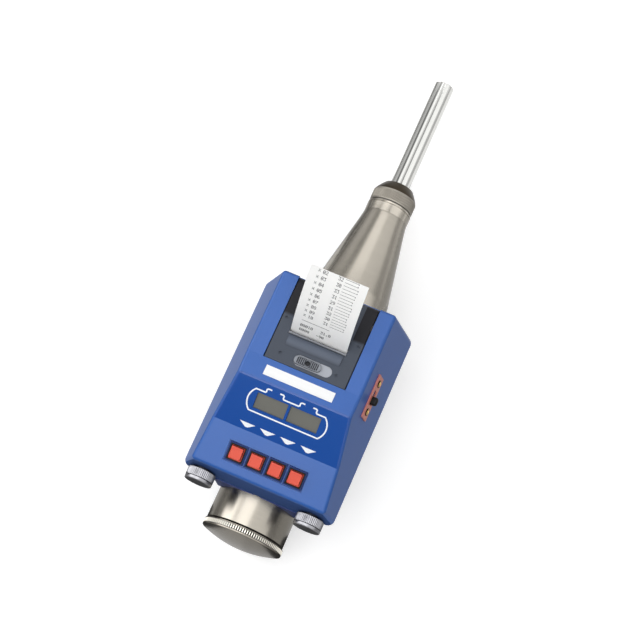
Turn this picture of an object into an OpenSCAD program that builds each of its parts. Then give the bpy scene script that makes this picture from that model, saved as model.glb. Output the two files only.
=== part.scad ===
// Concrete test hammer: a spring hammer in a metal tube, with a printer box saddled on top of it.
// +Y runs along the plunger to its tip and +Z is up. The part lies on the feet of its clamp straps,
// with the origin on the ground under the middle of its whole length.
// Inside the modules, y counts from the rear end of the cap and z from the axis of the tube.

/* [Housing] */
// Outer diameter of the tube
tube_d = 57.4; // [55:0.2:60]
// Wall of the tube and of the cone
tube_wall = 2.7; // [2:0.1:3.2]
// Length of the straight tube in front of the rear cap
tube_len = 190; // [186:1:200]
// Length of the cone
cone_len = 63; // [58:1:70]
// Outer diameter of the neck in front of the cone
neck_d = 33.8; // [33:0.2:36]
// Length of the neck
neck_len = 10.5; // [8:0.5:13]

/* [Rear cap] */
// Diameter of the knurled rim of the rear cap
cap_d = 59.4; // [58:0.2:62]
// Width of the knurled rim
cap_rim_w = 4.4; // [3:0.2:6]
// Height of the domed end
cap_dome_h = 6; // [4:0.5:8]

/* [Nose and plunger] */
// Diameter of the knurled nose ring
nose_d = 33.4; // [32:0.2:35]
// Width of the knurled band
nose_band_w = 9.7; // [8:0.1:12]
// Length of the taper in front of the band
nose_taper_len = 8; // [6:0.5:10]
// Diameter of the front face of the nose ring
nose_front_d = 22.8; // [21:0.2:26]
// Diameter of the plunger
plunger_d = 15; // [14:0.2:16]
// Length of plunger outside the nose at rest
plunger_out = 92; // [88:1:100]
// Radius of the domed tip
tip_r = 25; // [20:1:40]
// Travel of the plunger and of the hammer mass
stroke = 75; // [65:1:78]

/* [Hammer mass] */
// Length of the head of the mass
mass_head_len = 18; // [14:1:19]
// Diameter of the front part, which strikes the plunger
mass_front_d = 23; // [20:0.5:24]
// Diameter of the guide rod
guide_d = 8; // [7:0.2:9]

/* [Printer box] */
// Distance from the rear end of the cap to the rear edge of the box
box_y = 34; // [31:0.5:42]
// Length of the printer bay, from the crease to the front edge
bay_len = 62; // [59:0.5:66]
// Width of the box along its bottom
box_w = 111.4; // [106:0.2:120]
// Height of the top over the bottom edge
box_h = 50.8; // [49:0.2:54]
// Lean of the side walls from the vertical, in degrees
side_draft = 15.8; // [12:0.1:17]
// Wall of the case
case_wall = 2.6; // [2:0.1:3]
// Height of the strip's rear edge over the top
strip_rise = 1.2; // [0.5:0.1:2]
// Length of the panel with the keys, measured level
key_panel_len = 29.6; // [27:0.1:33]
// Rise of the panel with the keys
key_panel_rise = 10.1; // [8:0.1:12]
// Length of the display panel, measured level
lcd_panel_len = 31.7; // [30:0.1:34]
// Rise of the display panel
lcd_panel_rise = 17.4; // [15:0.1:19]
// Length of the strip with the label, measured level
strip_len = 16.3; // [15:0.1:18]

/* [Printer cover] */
// Width of the printer cover
cover_w = 58.4; // [56:0.2:62]
// Thickness of the cover
cover_t = 3; // [2.6:0.1:3.4]
// Diameter of the rounded front end, which turns on the hinge pin
cover_nose_d = 10.6; // [10:0.2:11.4]
// Width of the paper
paper_w = 41; // [38:0.5:44]
// Length of paper that stands out of the slot
paper_out = 56.5; // [40:0.5:64]
// Radius of the paper's curl
paper_curl_r = 91; // [80:1:120]

/* [Keys, display and switch] */
// Distance between key centres
key_pitch = 14.3; // [14:0.1:15.5]
// Side of a key's face
key_w = 9.4; // [8.6:0.1:9.8]
// Travel of a key
key_travel = 1.5; // [1:0.1:2]
// Width of one display window
lcd_w = 22.2; // [20:0.2:24]
// Height of the display windows, up the slope
lcd_h = 11.2; // [10:0.2:13]
// Length of the switch plate on the right side
switch_plate_len = 32; // [30:0.5:36]
// Height of the switch plate
switch_plate_h = 10; // [9:0.2:12]
// Travel of the switch knob
switch_travel = 4; // [3:0.2:5]

/* [Thumbscrews and clamps] */
// Diameter of a thumbscrew's head
thumb_d = 20; // [18:0.5:22]
// Length of a thumbscrew's head
thumb_len = 8.8; // [7:0.2:10]
// Distance of a thumbscrew's axis from the side edge of the box
thumb_inset = 15.5; // [13:0.1:18]
// Thickness of the clamp straps under the tube
strap_t = 8; // [7.6:0.2:10]

/* [Hidden] */
$fn = 64;
hull_fn = 32;
ball_fn = 200;

// Clearances and overruns that all pieces share
cut = 1;
run_gap = 0.06;
seat_gap = 0.1;
move_gap = 0.3;

// Stations along the tube
cap_groove_w = 1;
tube_r = tube_d / 2;
bore_r = tube_r - tube_wall;
y_tube = cap_dome_h + cap_rim_w + cap_groove_w;
y_cone = y_tube + tube_len;
y_neck = y_cone + cone_len;
y_band = y_neck + neck_len;
y_taper = y_band + nose_band_w;
y_nose = y_taper + nose_taper_len;
y_tip = y_nose + plunger_out;
overall_len = y_tip;
axis_h = tube_r + strap_t;

// Neck, nose ring and seal
neck_wall = 3.2;
neck_bore_r = neck_d / 2 - neck_wall;
neck_edge_gap = 0.3;
nose_spigot_len = 10;
felt_w = 3;
felt_depth = 2.6;
felt_front_wall = 1.8;
cone_edge_step = 0.2;
cone_edge_r = neck_d / 2 - cone_edge_step;

// Rear cap
cap_groove_depth = 1.2;
cap_spigot_len = 10.6;
cap_floor_y = 7;
cap_bore_wall = 4.3;
cap_dome_inset = 0.5;
cap_bore_r = bore_r - seat_gap - cap_bore_wall;
trip_d = 8;
trip_start_y = 4.5;
trip_len = 9.5;
nut_across = 13;
nut_h = 4;

// Plunger, guide rod and their collar
plunger_inside = 10.5;
collar_room = 5.4;
collar_d = 2 * neck_bore_r - collar_room;
collar_w = 5;
collar_groove_depth = 1.2;
collar_slit = 0.6;
plunger_rear_y = y_neck - plunger_inside;
plunger_bore_len = 30;
guide_in_plunger = 18;
tip_chamfer = 1;
rest_groove_depth = 0.5;
rest_groove_w = 0.8;
buffer_wall = 0.8;
tip_edge_drop = tip_r - sqrt(pow(tip_r, 2) - pow(plunger_d / 2 - tip_chamfer, 2));

// Carrier disc, pawl and hammer mass, from the trip screw forward to the plunger
carrier_w = 7;
carrier_to_mass = 4;
pawl_turn = 90;
pawl_w = 6;
pawl_slot_gap = 0.4;
pawl_tooth_clear = 0.4;
pawl_tooth_lift = 3.2;
pawl_pivot_d = 3;
pawl_eye_d = 6;
pawl_arm_t = 3;
pawl_tooth_w = 2.2;
pawl_tooth_inset = 1.3;
pawl_tail_rise = 1.4;
pawl_tail_len = 6;
pawl_tail_w = 2.5;
pawl_tail_swing = 3.6;
pawl_heel_z = 1.5;
pawl_lug_len = 6;
pawl_lug_w = 4;
trip_tip_y = trip_start_y + trip_len;
carrier_rear_y = trip_tip_y + pawl_tail_swing + pawl_tail_len + stroke;
carrier_front_y = carrier_rear_y + carrier_w;
carrier_r = bore_r - move_gap;
carrier_groove_w = 5.5;
carrier_groove_depth = 3.8;
mass_rear_y = carrier_front_y + carrier_to_mass;
mass_front_y = plunger_rear_y - stroke - move_gap;
mass_head_room = 8;
mass_head_d = 2 * (bore_r - mass_head_room);
mass_flange_room = 13;
mass_flange_d = 2 * (bore_r - mass_flange_room);
mass_flange_w = 4;
mass_neck_depth = 2.5;
mass_neck_d = mass_flange_d - 2 * mass_neck_depth;
mass_neck_w = 4;
pawl_pivot_drop = mass_flange_d / 2 + pawl_tooth_clear + pawl_tooth_lift;
pawl_pivot_y = carrier_front_y + pawl_lug_len / 2;
carrier_hub_r = pawl_pivot_drop - pawl_tail_rise - pawl_arm_t - pawl_slot_gap;

// Springs, drawn as plain sleeves of their outer and inner size
impact_wire = 1.5;
impact_gap = 1;
impact_d = mass_front_d + 2 * impact_gap + 2 * impact_wire;
seat_ring_w = 6;
seat_ring_ahead = 6;
seat_ring_y = plunger_rear_y - seat_ring_w - seat_ring_ahead;
compression_d = 2 * cap_bore_r - 2 * seat_gap;
compression_wire = 1.8;

// Plunger lock on the underside of the tube
lock_y = carrier_rear_y - stroke + carrier_w / 2;
lock_travel = 3;
lock_stem_d = 4.4;
lock_cap_d = 10;
lock_cap_t = 2.4;
lock_bush_wall = 2;
lock_bush_h = 5.4;
lock_cap_z = tube_r + lock_travel + move_gap;
lock_spring_wire = 0.7;

// Rebound rider on its rail
rail_d = 3;
rail_room = 4.3;
rail_z = bore_r - rail_room;
rail_rear_y = carrier_front_y + carrier_to_mass;
rail_front_gap = 1;
rail_front_y = y_cone - rail_front_gap;
rail_post_w = 3;
rail_post_x = 5;
rail_post_drop = 2.4;
rider_len = 8;
rider_w = 8;
rider_h = 6;
rider_stop_gap = 2;
rider_y = rail_front_y - rail_post_w - rider_len - rider_stop_gap;

// Corners of the box in side view: y along the tube, then height over the bottom edge
saddle_gap = 0.3;
box_z = tube_r + saddle_gap;
rear_lean = 2;
front_lean = 4.1;
y_key = box_y + rear_lean;
y_lcd = y_key + key_panel_len;
y_strip = y_lcd + lcd_panel_len;
y_crease = y_strip + strip_len;
y_front = y_crease + bay_len;
box_len = y_front + front_lean - box_y;
rear_h = box_h + strip_rise - lcd_panel_rise - key_panel_rise;
corners = [
    [box_y, 0],
    [y_key, rear_h],
    [y_lcd, rear_h + key_panel_rise],
    [y_strip, rear_h + key_panel_rise + lcd_panel_rise],
    [y_crease, box_h],
    [y_front, box_h],
    [box_y + box_len, 0]
];
KEY_PANEL = 1;
LCD_PANEL = 2;
STRIP_PANEL = 3;
LAST_CORNER = 5;
edge_r = 2.5;
foot_r = 5;
foot_h = 0.4;
z_top = box_z + box_h;

// Base plate, saddles and straps
base_t = 3;
base_gap = 0.3;
saddle_low_z = 8;
saddle_tongue = 0.5;
rear_saddle_len = 26;
front_saddle_len = 30;
front_saddle_y = y_front - front_saddle_len - strap_t;
ear_h = 12;
ear_rim = 6;
strap_split = 0.4;
strap_band = 5;
strap_foot_inset = 6.7;
strap_foot_half = tube_r - strap_foot_inset;
strap_w = 18;
strap_ear_t = 8;
strap_screw_room = 3.3;
strap_screw_x = tube_r + strap_band + strap_screw_room;
ear_half = strap_screw_x + ear_rim;
strap_screw_d = 5;
strap_head_d = 8.6;
strap_head_h = 4;
strap_screw_up = 10.6;
rear_strap_y = box_y + strap_w / 2 + base_t;
front_strap_y = front_saddle_y + front_saddle_len / 2 - strap_w / 2;

// Thumbscrews and the blocks that they screw into
thumb_h = 7;
thumb_collar_d = 12;
thumb_shank_d = 5;
thumb_shank_len = 12;
thumb_block_w = 14;
thumb_block_len = 13;
thumb_block_h = 13;
thumb_wall_gap = 1;
thumb_x = box_w / 2 - thumb_inset;
thumb_z = box_z + thumb_h;
thumb_block_y = box_y + rear_lean + case_wall + base_gap;
thumb_chamfer = 0.8;
thumb_wall_y = box_y + thumb_h * rear_lean / rear_h;
saddle_tuck = 2.3;
saddle_side = 1.3;
saddle_top_half = thumb_x - thumb_d / 2 + saddle_tuck;
saddle_low_half = tube_r + saddle_side;

// Printer cover with its slot, ridge, latch and hinge
cover_gap = 0.3;
cover_side_gap = 0.8;
cover_rear_y = y_crease + cover_gap;
hinge_setback = 5.6;
hinge_y = y_front - hinge_setback;
hinge_z = z_top - cover_nose_d / 2;
hinge_pin_d = 3;
hinge_ear_t = 4;
hinge_ear_w = 8;
arm_step = 1.2;
slot_w = 2.6;
slot_side_gap = 0.4;
slot_from_rear = 23.3;
slot_y = cover_rear_y + slot_from_rear;
tear_w = 2;
tear_proud = 0.9;
tear_sunk = 1;
ridge_d = 18;
ridge_sunk = 7.8;
ridge_len = 39.2;
ridge_back = 6.2;
latch_back = 6.4;
latch_len = 27.5;
latch_w = 8;
latch_x = 3.4;
latch_depth = 1.1;
latch_plate_t = 0.4;
latch_plate_gap = 0.05;
slide_len = 19.6;
slide_w = 6.4;
slide_h = 1.5;
slide_x = -0.3;
slide_rib_w = 0.7;
slide_rib_h = 0.5;
slide_ribs = 7;
slide_rib_len = 4.6;
latch_travel = 6;
stem_len = 4;
stem_w = 2.4;
clip_len = 9;
clip_w = 5;
clip_t = 1.2;
dimple_d = 2.2;
dimple_depth = 1;
dimple_rear_x = 20.3;
dimple_front_x = 26.2;
dimple_ahead = 7.6;
dimple_front_y = slot_y + dimple_ahead;
paper_t = 0.3;
paper_rise = 71;
paper_steps = 12;
paper_ahead = 1.5;
paper_tail = 3;

// Printer mechanism under the cover
frame_drop = 35.8;
frame_z = z_top - frame_drop;
frame_t = 2;
frame_side_gap = 3.5;
frame_half = paper_w / 2 + frame_side_gap;
frame_rear_y = y_crease + cover_gap;
frame_front_gap = 12;
frame_len = bay_len - frame_front_gap;
frame_h = 26;
frame_leg_w = 6;
roll_d = 27;
roll_gap = 0.6;
roll_from_front = 12.5;
roll_y = frame_rear_y + frame_len - roll_from_front;
roll_z = frame_z + frame_t + roll_d / 2 + roll_gap;
core_d = 11;
spindle_d = 5;
spindle_out = 2;
platen_d = 10;
platen_back = 20;
platen_lift = 4;
platen_y = roll_y - platen_back;
platen_z = roll_z + platen_lift;
platen_shaft_d = 3;
gear_module = 0.6;
gear_teeth = 30;
pinion_teeth = 12;
gear_w = 3.6;
gear_gap = 0.4;
gear_slack = 0.16;
addendum_share = 0.85;
dedendum_share = 1.2;
tooth_tip_share = 0.5;
mesh_angle = 221;
gear_reach = gear_module * (gear_teeth + pinion_teeth) / 2;
motor_y = platen_y + gear_reach * cos(mesh_angle);
motor_z = platen_z + gear_reach * sin(mesh_angle);
gear_x = -frame_half - frame_t - gear_gap - gear_w;
motor_d = 12;
motor_len = 24;
motor_shaft_d = 2;
head_len = 5.5;
head_h = 7;
head_gap = 0.6;
head_lift = 1.9;

// Boards, displays and batteries
board_t = 1.6;
lcd_pitch = lcd_w + 1.8;
lcd_up = 4.1;
lcd_sunk = 1.1;
lcd_frame = 1.4;
lcd_back_t = 4;
lcd_gap = 0.15;
display_rim = 4;
display_board_len = 2 * lcd_pitch + 2 * display_rim;
display_board_w = lcd_h + 2 * display_rim + 2 * lcd_frame;
label_w = 50;
label_h = 7.2;
label_t = 0.6;
label_sunk = 0.3;
key_count = 4;
key_down = 1.1;
key_rib = 1.1;
bezel_w = key_pitch - key_rib;
pocket_rim = 0.8;
pocket_len = key_count * key_pitch - key_rib + 2 * pocket_rim;
pocket_w = bezel_w + 2 * pocket_rim;
pocket_depth = 1;
bezel_gap = 0.1;
bezel_up = 0.5;
bezel_deep = 7;
key_side_gap = 0.25;
key_up = 4;
key_deep = 4;
key_switch_w = 6;
key_board_rim = 1;
key_board_len = pocket_len + 2 * key_board_rim;
key_board_w = pocket_w;
main_board_half = 17;
main_board_len = 44;
main_board_y = frame_rear_y + (frame_len - main_board_len) / 2;
post_d = 5;
post_h = (frame_z - box_z - base_t - board_t) / 2;
post_inset = 4;
cell_d = 14;
cell_len = 50.5;
cell_pitch = 14.7;
cell_count = 4;
tray_wall = 1.5;
tray_wall_h = 7;
tray_gap = 0.3;
tray_len = cell_len + 2 * tray_gap + 2 * tray_wall;
tray_ahead_gap = 0.8;
tray_y = frame_rear_y - tray_ahead_gap - tray_len;

// Side switch
switch_ahead = 7.4;
switch_y = y_crease + switch_ahead;
switch_h = 31.4;
switch_plate_t = 1.2;
switch_screw_inset = 5.35;
switch_screw_pitch = switch_plate_len - 2 * switch_screw_inset;
switch_screw_d = 2.5;
switch_head_d = 5.4;
switch_head_h = 1;
knob_len = 6;
knob_w = 4;
knob_end_gap = 0.5;
switch_slot_len = knob_len + switch_travel + 2 * knob_end_gap;
switch_slot_w = knob_w + 2 * move_gap;
knob_out = 4.2;
knob_in = 3;
switch_body_rim = 3;
switch_body_len = switch_slot_len + 2 * switch_body_rim;
switch_body_w = 8;
switch_body_h = 6;
knob_pocket = 3.4;

echo(overall_len = overall_len, axis_h = axis_h, paper_top = axis_h + z_top + paper_out);

// Distance of a point of the side wall from the middle plane, at height h over the bottom edge
function half_w(h) = box_w / 2 - h * tan(side_draft);

// Direction of the side line from corner i to the next
function lean(i) = atan2(corners[i + 1][1] - corners[i][1], corners[i + 1][0] - corners[i][0]);

// Point that lies r inside both lines that meet at corner i
function inset(i, r) =
    let (a = lean(i - 1), b = lean(i))
    corners[i] - r * [-sin(a) - sin(b), cos(a) + cos(b)] / (1 + cos(a - b));

// Inside line of the case, as wide as the wall lets it be and open below
inner_rear = inset(1, case_wall);
inner_front = inset(LAST_CORNER, case_wall);
inner_line = concat(
    [[inner_rear[0] - (inner_rear[1] + cut) * rear_lean / rear_h, -cut]],
    [for (i = [1:LAST_CORNER]) inset(i, case_wall)],
    [[inner_front[0] + (inner_front[1] + cut) * front_lean / box_h, -cut]]
);

// Point of the paper after a length of its curl
function paper_point(l, off) =
    let (turn = l / paper_curl_r * 180 / PI, r = paper_curl_r + off)
    [slot_y + paper_ahead + paper_curl_r * sin(paper_rise) - r * sin(paper_rise - turn),
     z_top - paper_curl_r * cos(paper_rise) + r * cos(paper_rise - turn)];

// One tooth of a gear, from root to root
function tooth(i, teeth) =
    let (step = 360 / teeth,
         r = gear_module * teeth / 2,
         tip = r + gear_module * addendum_share,
         root = r - gear_module * dedendum_share,
         thin = gear_slack / r * 90 / PI,
         foot = step / 4 + step / 8 - thin,
         crest = step / 4 * tooth_tip_share - thin / 2)
    [for (p = [[root, -foot], [tip, -crest], [tip, crest], [root, foot]])
        p[0] * [cos(i * step + p[1]), sin(i * step + p[1])]];

module placed() translate([0, -overall_len / 2, axis_h]) children();
module spun(y = 0) translate([0, y, 0]) rotate([-90, 0, 0]) children();
module lathe(profile) spun() rotate_extrude() polygon(profile);
module rod(d, y0, y1) spun(y0) cylinder(d = d, h = y1 - y0);
module sleeve(d, wall, y0, y1) {
    difference() {
        rod(d, y0, y1);
        rod(d - 2 * wall, y0 - cut, y1 + cut);
    }
}
module cross_rod(d, x0, x1, y, z) translate([x0, y, z]) rotate([0, 90, 0]) cylinder(d = d, h = x1 - x0);
module upright(d, x, y, z0, z1) translate([x, y, z0]) cylinder(d = d, h = z1 - z0);
module block(x0, x1, y0, y1, z0, z1) translate([x0, y0, z0]) cube([x1 - x0, y1 - y0, z1 - z0]);
module pair(x0, x1, y0, y1, z0, z1) {
    block(x0, x1, y0, y1, z0, z1);
    block(-x1, -x0, y0, y1, z0, z1);
}
module side_cut(profile, x0, x1)
    translate([x0, 0, 0]) rotate([90, 0, 90]) linear_extrude(x1 - x0) polygon(profile);
module front_cut(profile, y0, y1)
    translate([0, y1, 0]) rotate([90, 0, 0]) linear_extrude(y1 - y0) polygon(profile);
module slab(w, l, z0, z1) translate([-w / 2, -l / 2, z0]) cube([w, l, z1 - z0]);
module stadium(l, w, z0, z1) {
    translate([0, 0, z0]) linear_extrude(z1 - z0) {
        square([l - w, w], center = true);
        for (side = [-1, 1]) translate([side * (l - w) / 2, 0]) circle(d = w);
    }
}

// Frame of a panel of the case: x across, y up the slope, z out of the panel
module on_panel(i, up = 0) {
    mid = (corners[i] + corners[i + 1]) / 2;
    translate([0, mid[0], box_z + mid[1]]) rotate([lean(i), 0, 0]) translate([0, up, 0]) children();
}

// Frame of the switch: x down the side wall, y along the tube, z out of the wall
module on_side() {
    translate([half_w(switch_h), switch_y, box_z + switch_h]) rotate([0, 90 - side_draft, 0]) children();
}
module key_places() {
    for (i = [0:key_count - 1]) translate([(i - (key_count - 1) / 2) * key_pitch, 0, 0]) children();
}
module switch_screw_places() for (side = [-1, 1]) translate([0, side * switch_screw_pitch / 2, 0]) children();

module housing() color("darkkhaki") {
    difference() {
        lathe([
            [tube_r, y_tube], [tube_r, y_cone], [cone_edge_r, y_neck], [neck_d / 2, y_band],
            [neck_bore_r, y_band], [neck_bore_r, y_neck], [bore_r, y_cone], [bore_r, y_tube]
        ]);
        upright(lock_stem_d + 2 * run_gap, 0, lock_y, -tube_r - cut, 0);
    }
}

module rear_cap() color("tan") {
    dome_r = cap_d / 2 - cap_dome_inset;
    ball_r = (pow(dome_r, 2) + pow(cap_dome_h, 2)) / (2 * cap_dome_h);
    spigot_r = bore_r - seat_gap;
    difference() {
        union() {
            intersection() {
                translate([0, ball_r, 0]) sphere(ball_r, $fn = ball_fn);
                rod(cap_d, 0, cap_dome_h);
            }
            rod(cap_d, cap_dome_h, cap_dome_h + cap_rim_w);
            rod(2 * (tube_r - cap_groove_depth), cap_dome_h + cap_rim_w, y_tube);
            rod(2 * spigot_r, y_tube, y_tube + cap_spigot_len);
        }
        rod(2 * cap_bore_r, cap_floor_y, y_tube + cap_spigot_len + cut);
        rod(trip_d + 2 * run_gap, trip_start_y, cap_floor_y + cut);
    }
}

module trip_screw() color("dimgray") rod(trip_d, trip_start_y + seat_gap, trip_tip_y);

module lock_nut() color("gray") {
    difference() {
        spun(cap_floor_y) cylinder(d = nut_across / cos(30), h = nut_h, $fn = 6);
        rod(trip_d + 2 * run_gap, cap_floor_y - cut, cap_floor_y + nut_h + cut);
    }
}

module nose_ring() color("dimgray") {
    spigot_r = neck_bore_r - seat_gap;
    difference() {
        lathe([
            [0, y_band - nose_spigot_len], [spigot_r, y_band - nose_spigot_len],
            [spigot_r, y_band + neck_edge_gap], [nose_d / 2, y_band + neck_edge_gap],
            [nose_d / 2, y_taper], [nose_front_d / 2, y_nose], [0, y_nose]
        ]);
        rod(plunger_d + 2 * run_gap, y_band - nose_spigot_len - cut, y_nose + cut);
        rod(plunger_d + 2 * felt_depth, y_nose - felt_front_wall - felt_w, y_nose - felt_front_wall);
    }
}

module felt_seal() color("ivory")
    sleeve(plunger_d + 2 * felt_depth - 2 * seat_gap, felt_depth - seat_gap - move_gap,
        y_nose - felt_front_wall - felt_w + seat_gap, y_nose - felt_front_wall - seat_gap);

// Ring on the cone's inside that holds the front end of the impact spring
module spring_seat() color("gray") {
    slope = (bore_r - neck_bore_r) / cone_len;
    r_front = neck_bore_r + (y_neck - seat_ring_y - seat_ring_w) * slope - seat_gap;
    difference() {
        lathe([
            [0, seat_ring_y], [r_front + seat_ring_w * slope, seat_ring_y],
            [r_front, seat_ring_y + seat_ring_w], [0, seat_ring_y + seat_ring_w]
        ]);
        rod(mass_front_d + 2 * move_gap, seat_ring_y - cut, seat_ring_y + seat_ring_w + cut);
    }
}

module plunger() color("silver") {
    collar_y = y_band - nose_spigot_len - move_gap - collar_w;
    difference() {
        union() {
            rod(plunger_d, plunger_rear_y, y_tip - tip_edge_drop - tip_chamfer);
            intersection() {
                translate([0, y_tip - tip_r, 0]) sphere(tip_r);
                spun(y_tip - tip_edge_drop - tip_chamfer)
                    cylinder(d1 = plunger_d, d2 = plunger_d - 2 * tip_chamfer, h = tip_chamfer);
            }
            intersection() {
                translate([0, y_tip - tip_r, 0]) sphere(tip_r);
                rod(plunger_d - 2 * tip_chamfer, y_tip - tip_edge_drop - tip_chamfer, y_tip + cut);
            }
        }
        rod(guide_d + 2 * run_gap, plunger_rear_y - cut, plunger_rear_y + plunger_bore_len);
        sleeve(plunger_d + 2 * cut, cut + collar_groove_depth, collar_y, collar_y + collar_w);
        sleeve(plunger_d + 2 * cut, cut + rest_groove_depth, y_nose, y_nose + rest_groove_w);
    }
}

// Collar in two halves, in the plunger's groove, that stops the plunger in the nose
module split_ring() color("slategray") {
    collar_y = y_band - nose_spigot_len - move_gap - collar_w;
    inner_d = plunger_d - 2 * collar_groove_depth + 2 * seat_gap;
    difference() {
        sleeve(collar_d, (collar_d - inner_d) / 2, collar_y + seat_gap, collar_y + collar_w - seat_gap);
        block(-collar_d, collar_d, collar_y, collar_y + collar_w, -collar_slit / 2, collar_slit / 2);
    }
}

module buffer_spring() color("lightgray")
    sleeve(guide_d - 2 * run_gap, buffer_wall,
        plunger_rear_y + guide_in_plunger, plunger_rear_y + plunger_bore_len);

module guide_rod() color("silver") rod(guide_d, carrier_rear_y, plunger_rear_y + guide_in_plunger);

// Disc that carries the guide rod and the pawl and slides in the tube
module carrier_disc() color("gray") {
    slot = pawl_w + 2 * pawl_slot_gap;
    groove_y = carrier_rear_y + (carrier_w - carrier_groove_w) / 2;
    difference() {
        union() {
            rod(2 * carrier_r, carrier_rear_y, carrier_front_y);
            rotate([0, pawl_turn, 0])
                pair(slot / 2, slot / 2 + pawl_lug_w,
                    carrier_front_y - carrier_w / 2, carrier_front_y + pawl_lug_len,
                    -pawl_pivot_drop - pawl_eye_d / 2, -pawl_pivot_drop + pawl_eye_d / 2);
        }
        rod(guide_d + 2 * seat_gap, carrier_rear_y - cut, carrier_front_y + cut);
        sleeve(2 * carrier_r + 2 * cut, cut + carrier_groove_depth, groove_y, groove_y + carrier_groove_w);
        rotate([0, pawl_turn, 0]) {
            block(-slot / 2, slot / 2, carrier_rear_y - cut, carrier_front_y + cut,
                -carrier_r - cut, -carrier_hub_r);
            cross_rod(pawl_pivot_d + 2 * seat_gap, -carrier_r, carrier_r, pawl_pivot_y, -pawl_pivot_drop);
        }
    }
}

// Hook on the carrier, drawn in its tripped place, just clear of the mass
module pawl() color("peru") {
    half = pawl_w / 2;
    tooth_y = mass_rear_y + mass_flange_w + pawl_tooth_inset;
    tooth_end = tooth_y + pawl_tooth_w;
    arm_z = -pawl_pivot_drop - pawl_arm_t;
    tail_y = carrier_rear_y - pawl_tail_len;
    tail_z = -pawl_pivot_drop + pawl_tail_rise;
    rotate([0, pawl_turn, 0]) difference() {
        union() {
            cross_rod(pawl_eye_d, -half, half, pawl_pivot_y, -pawl_pivot_drop);
            block(-half, half, pawl_pivot_y, tooth_end, arm_z, -pawl_pivot_drop);
            block(-half, half, tooth_y, tooth_end, arm_z, -pawl_pivot_drop + pawl_tooth_lift);
            block(-half, half, tail_y, pawl_pivot_y, tail_z, tail_z + pawl_arm_t);
            block(-half, half, tail_y, tail_y + pawl_tail_w, tail_z, -pawl_heel_z);
        }
        cross_rod(pawl_pivot_d + 2 * run_gap, -carrier_r, carrier_r, pawl_pivot_y, -pawl_pivot_drop);
    }
}

module pawl_pin() color("silver") {
    half = pawl_w / 2 + pawl_slot_gap + pawl_lug_w;
    rotate([0, pawl_turn, 0]) cross_rod(pawl_pivot_d, -half, half, pawl_pivot_y, -pawl_pivot_drop);
}

module hammer_mass() color("slategray") {
    neck_y = mass_rear_y + mass_flange_w;
    head_y = neck_y + mass_neck_w;
    difference() {
        union() {
            rod(mass_flange_d, mass_rear_y, neck_y);
            rod(mass_neck_d, neck_y, head_y);
            rod(mass_head_d, head_y, head_y + mass_head_len);
            rod(mass_front_d, head_y + mass_head_len, mass_front_y);
        }
        rod(guide_d + 2 * run_gap, mass_rear_y - cut, mass_front_y + cut);
    }
}

module impact_spring() color("lightgray") {
    head_front_y = mass_rear_y + mass_flange_w + mass_neck_w + mass_head_len;
    sleeve(impact_d, impact_wire, head_front_y + move_gap, seat_ring_y - move_gap);
}

module compression_spring() color("lightgray")
    sleeve(compression_d, compression_wire, cap_floor_y + move_gap, carrier_rear_y - move_gap);

module lock_bush() color("gray") {
    bush_d = lock_cap_d + 2 * move_gap + 2 * lock_bush_wall;
    difference() {
        upright(bush_d, 0, lock_y, -tube_r - lock_bush_h, 0);
        upright(lock_cap_d + 2 * move_gap, 0, lock_y, -tube_r - lock_bush_h - cut, cut);
        rod(2 * tube_r + 2 * seat_gap, lock_y - bush_d, lock_y + bush_d);
    }
}

module lock_button() color("dimgray") {
    upright(lock_cap_d, 0, lock_y, -lock_cap_z - lock_cap_t, -lock_cap_z);
    upright(lock_stem_d, 0, lock_y, -lock_cap_z - lock_cap_t, -bore_r - move_gap);
}

module lock_spring() color("lightgray") {
    difference() {
        upright(lock_stem_d + 2 * move_gap + 2 * lock_spring_wire, 0, lock_y, -lock_cap_z, -tube_r);
        upright(lock_stem_d + 2 * move_gap, 0, lock_y, -lock_cap_z - cut, cut);
        rod(2 * tube_r + 2 * seat_gap, lock_y - lock_cap_d, lock_y + lock_cap_d);
    }
}

// Rail for the rebound rider, on two posts against the inside of the tube
module sensor_rail() color("silver") {
    translate([0, 0, rail_z]) rod(rail_d, rail_rear_y, rail_front_y);
    intersection() {
        for (y = [rail_rear_y, rail_front_y - rail_post_w])
            block(-rail_post_x, rail_post_x, y, y + rail_post_w, rail_z - rail_post_drop, tube_r);
        rod(2 * bore_r - 2 * seat_gap, rail_rear_y - cut, rail_front_y + cut);
    }
}

module rider() color("firebrick") {
    difference() {
        block(-rider_w / 2, rider_w / 2, rider_y, rider_y + rider_len,
            rail_z - rider_h / 2, rail_z + rider_h / 2);
        translate([0, 0, rail_z]) rod(rail_d + 2 * run_gap, rider_y - cut, rider_y + rider_len + cut);
    }
}

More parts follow.
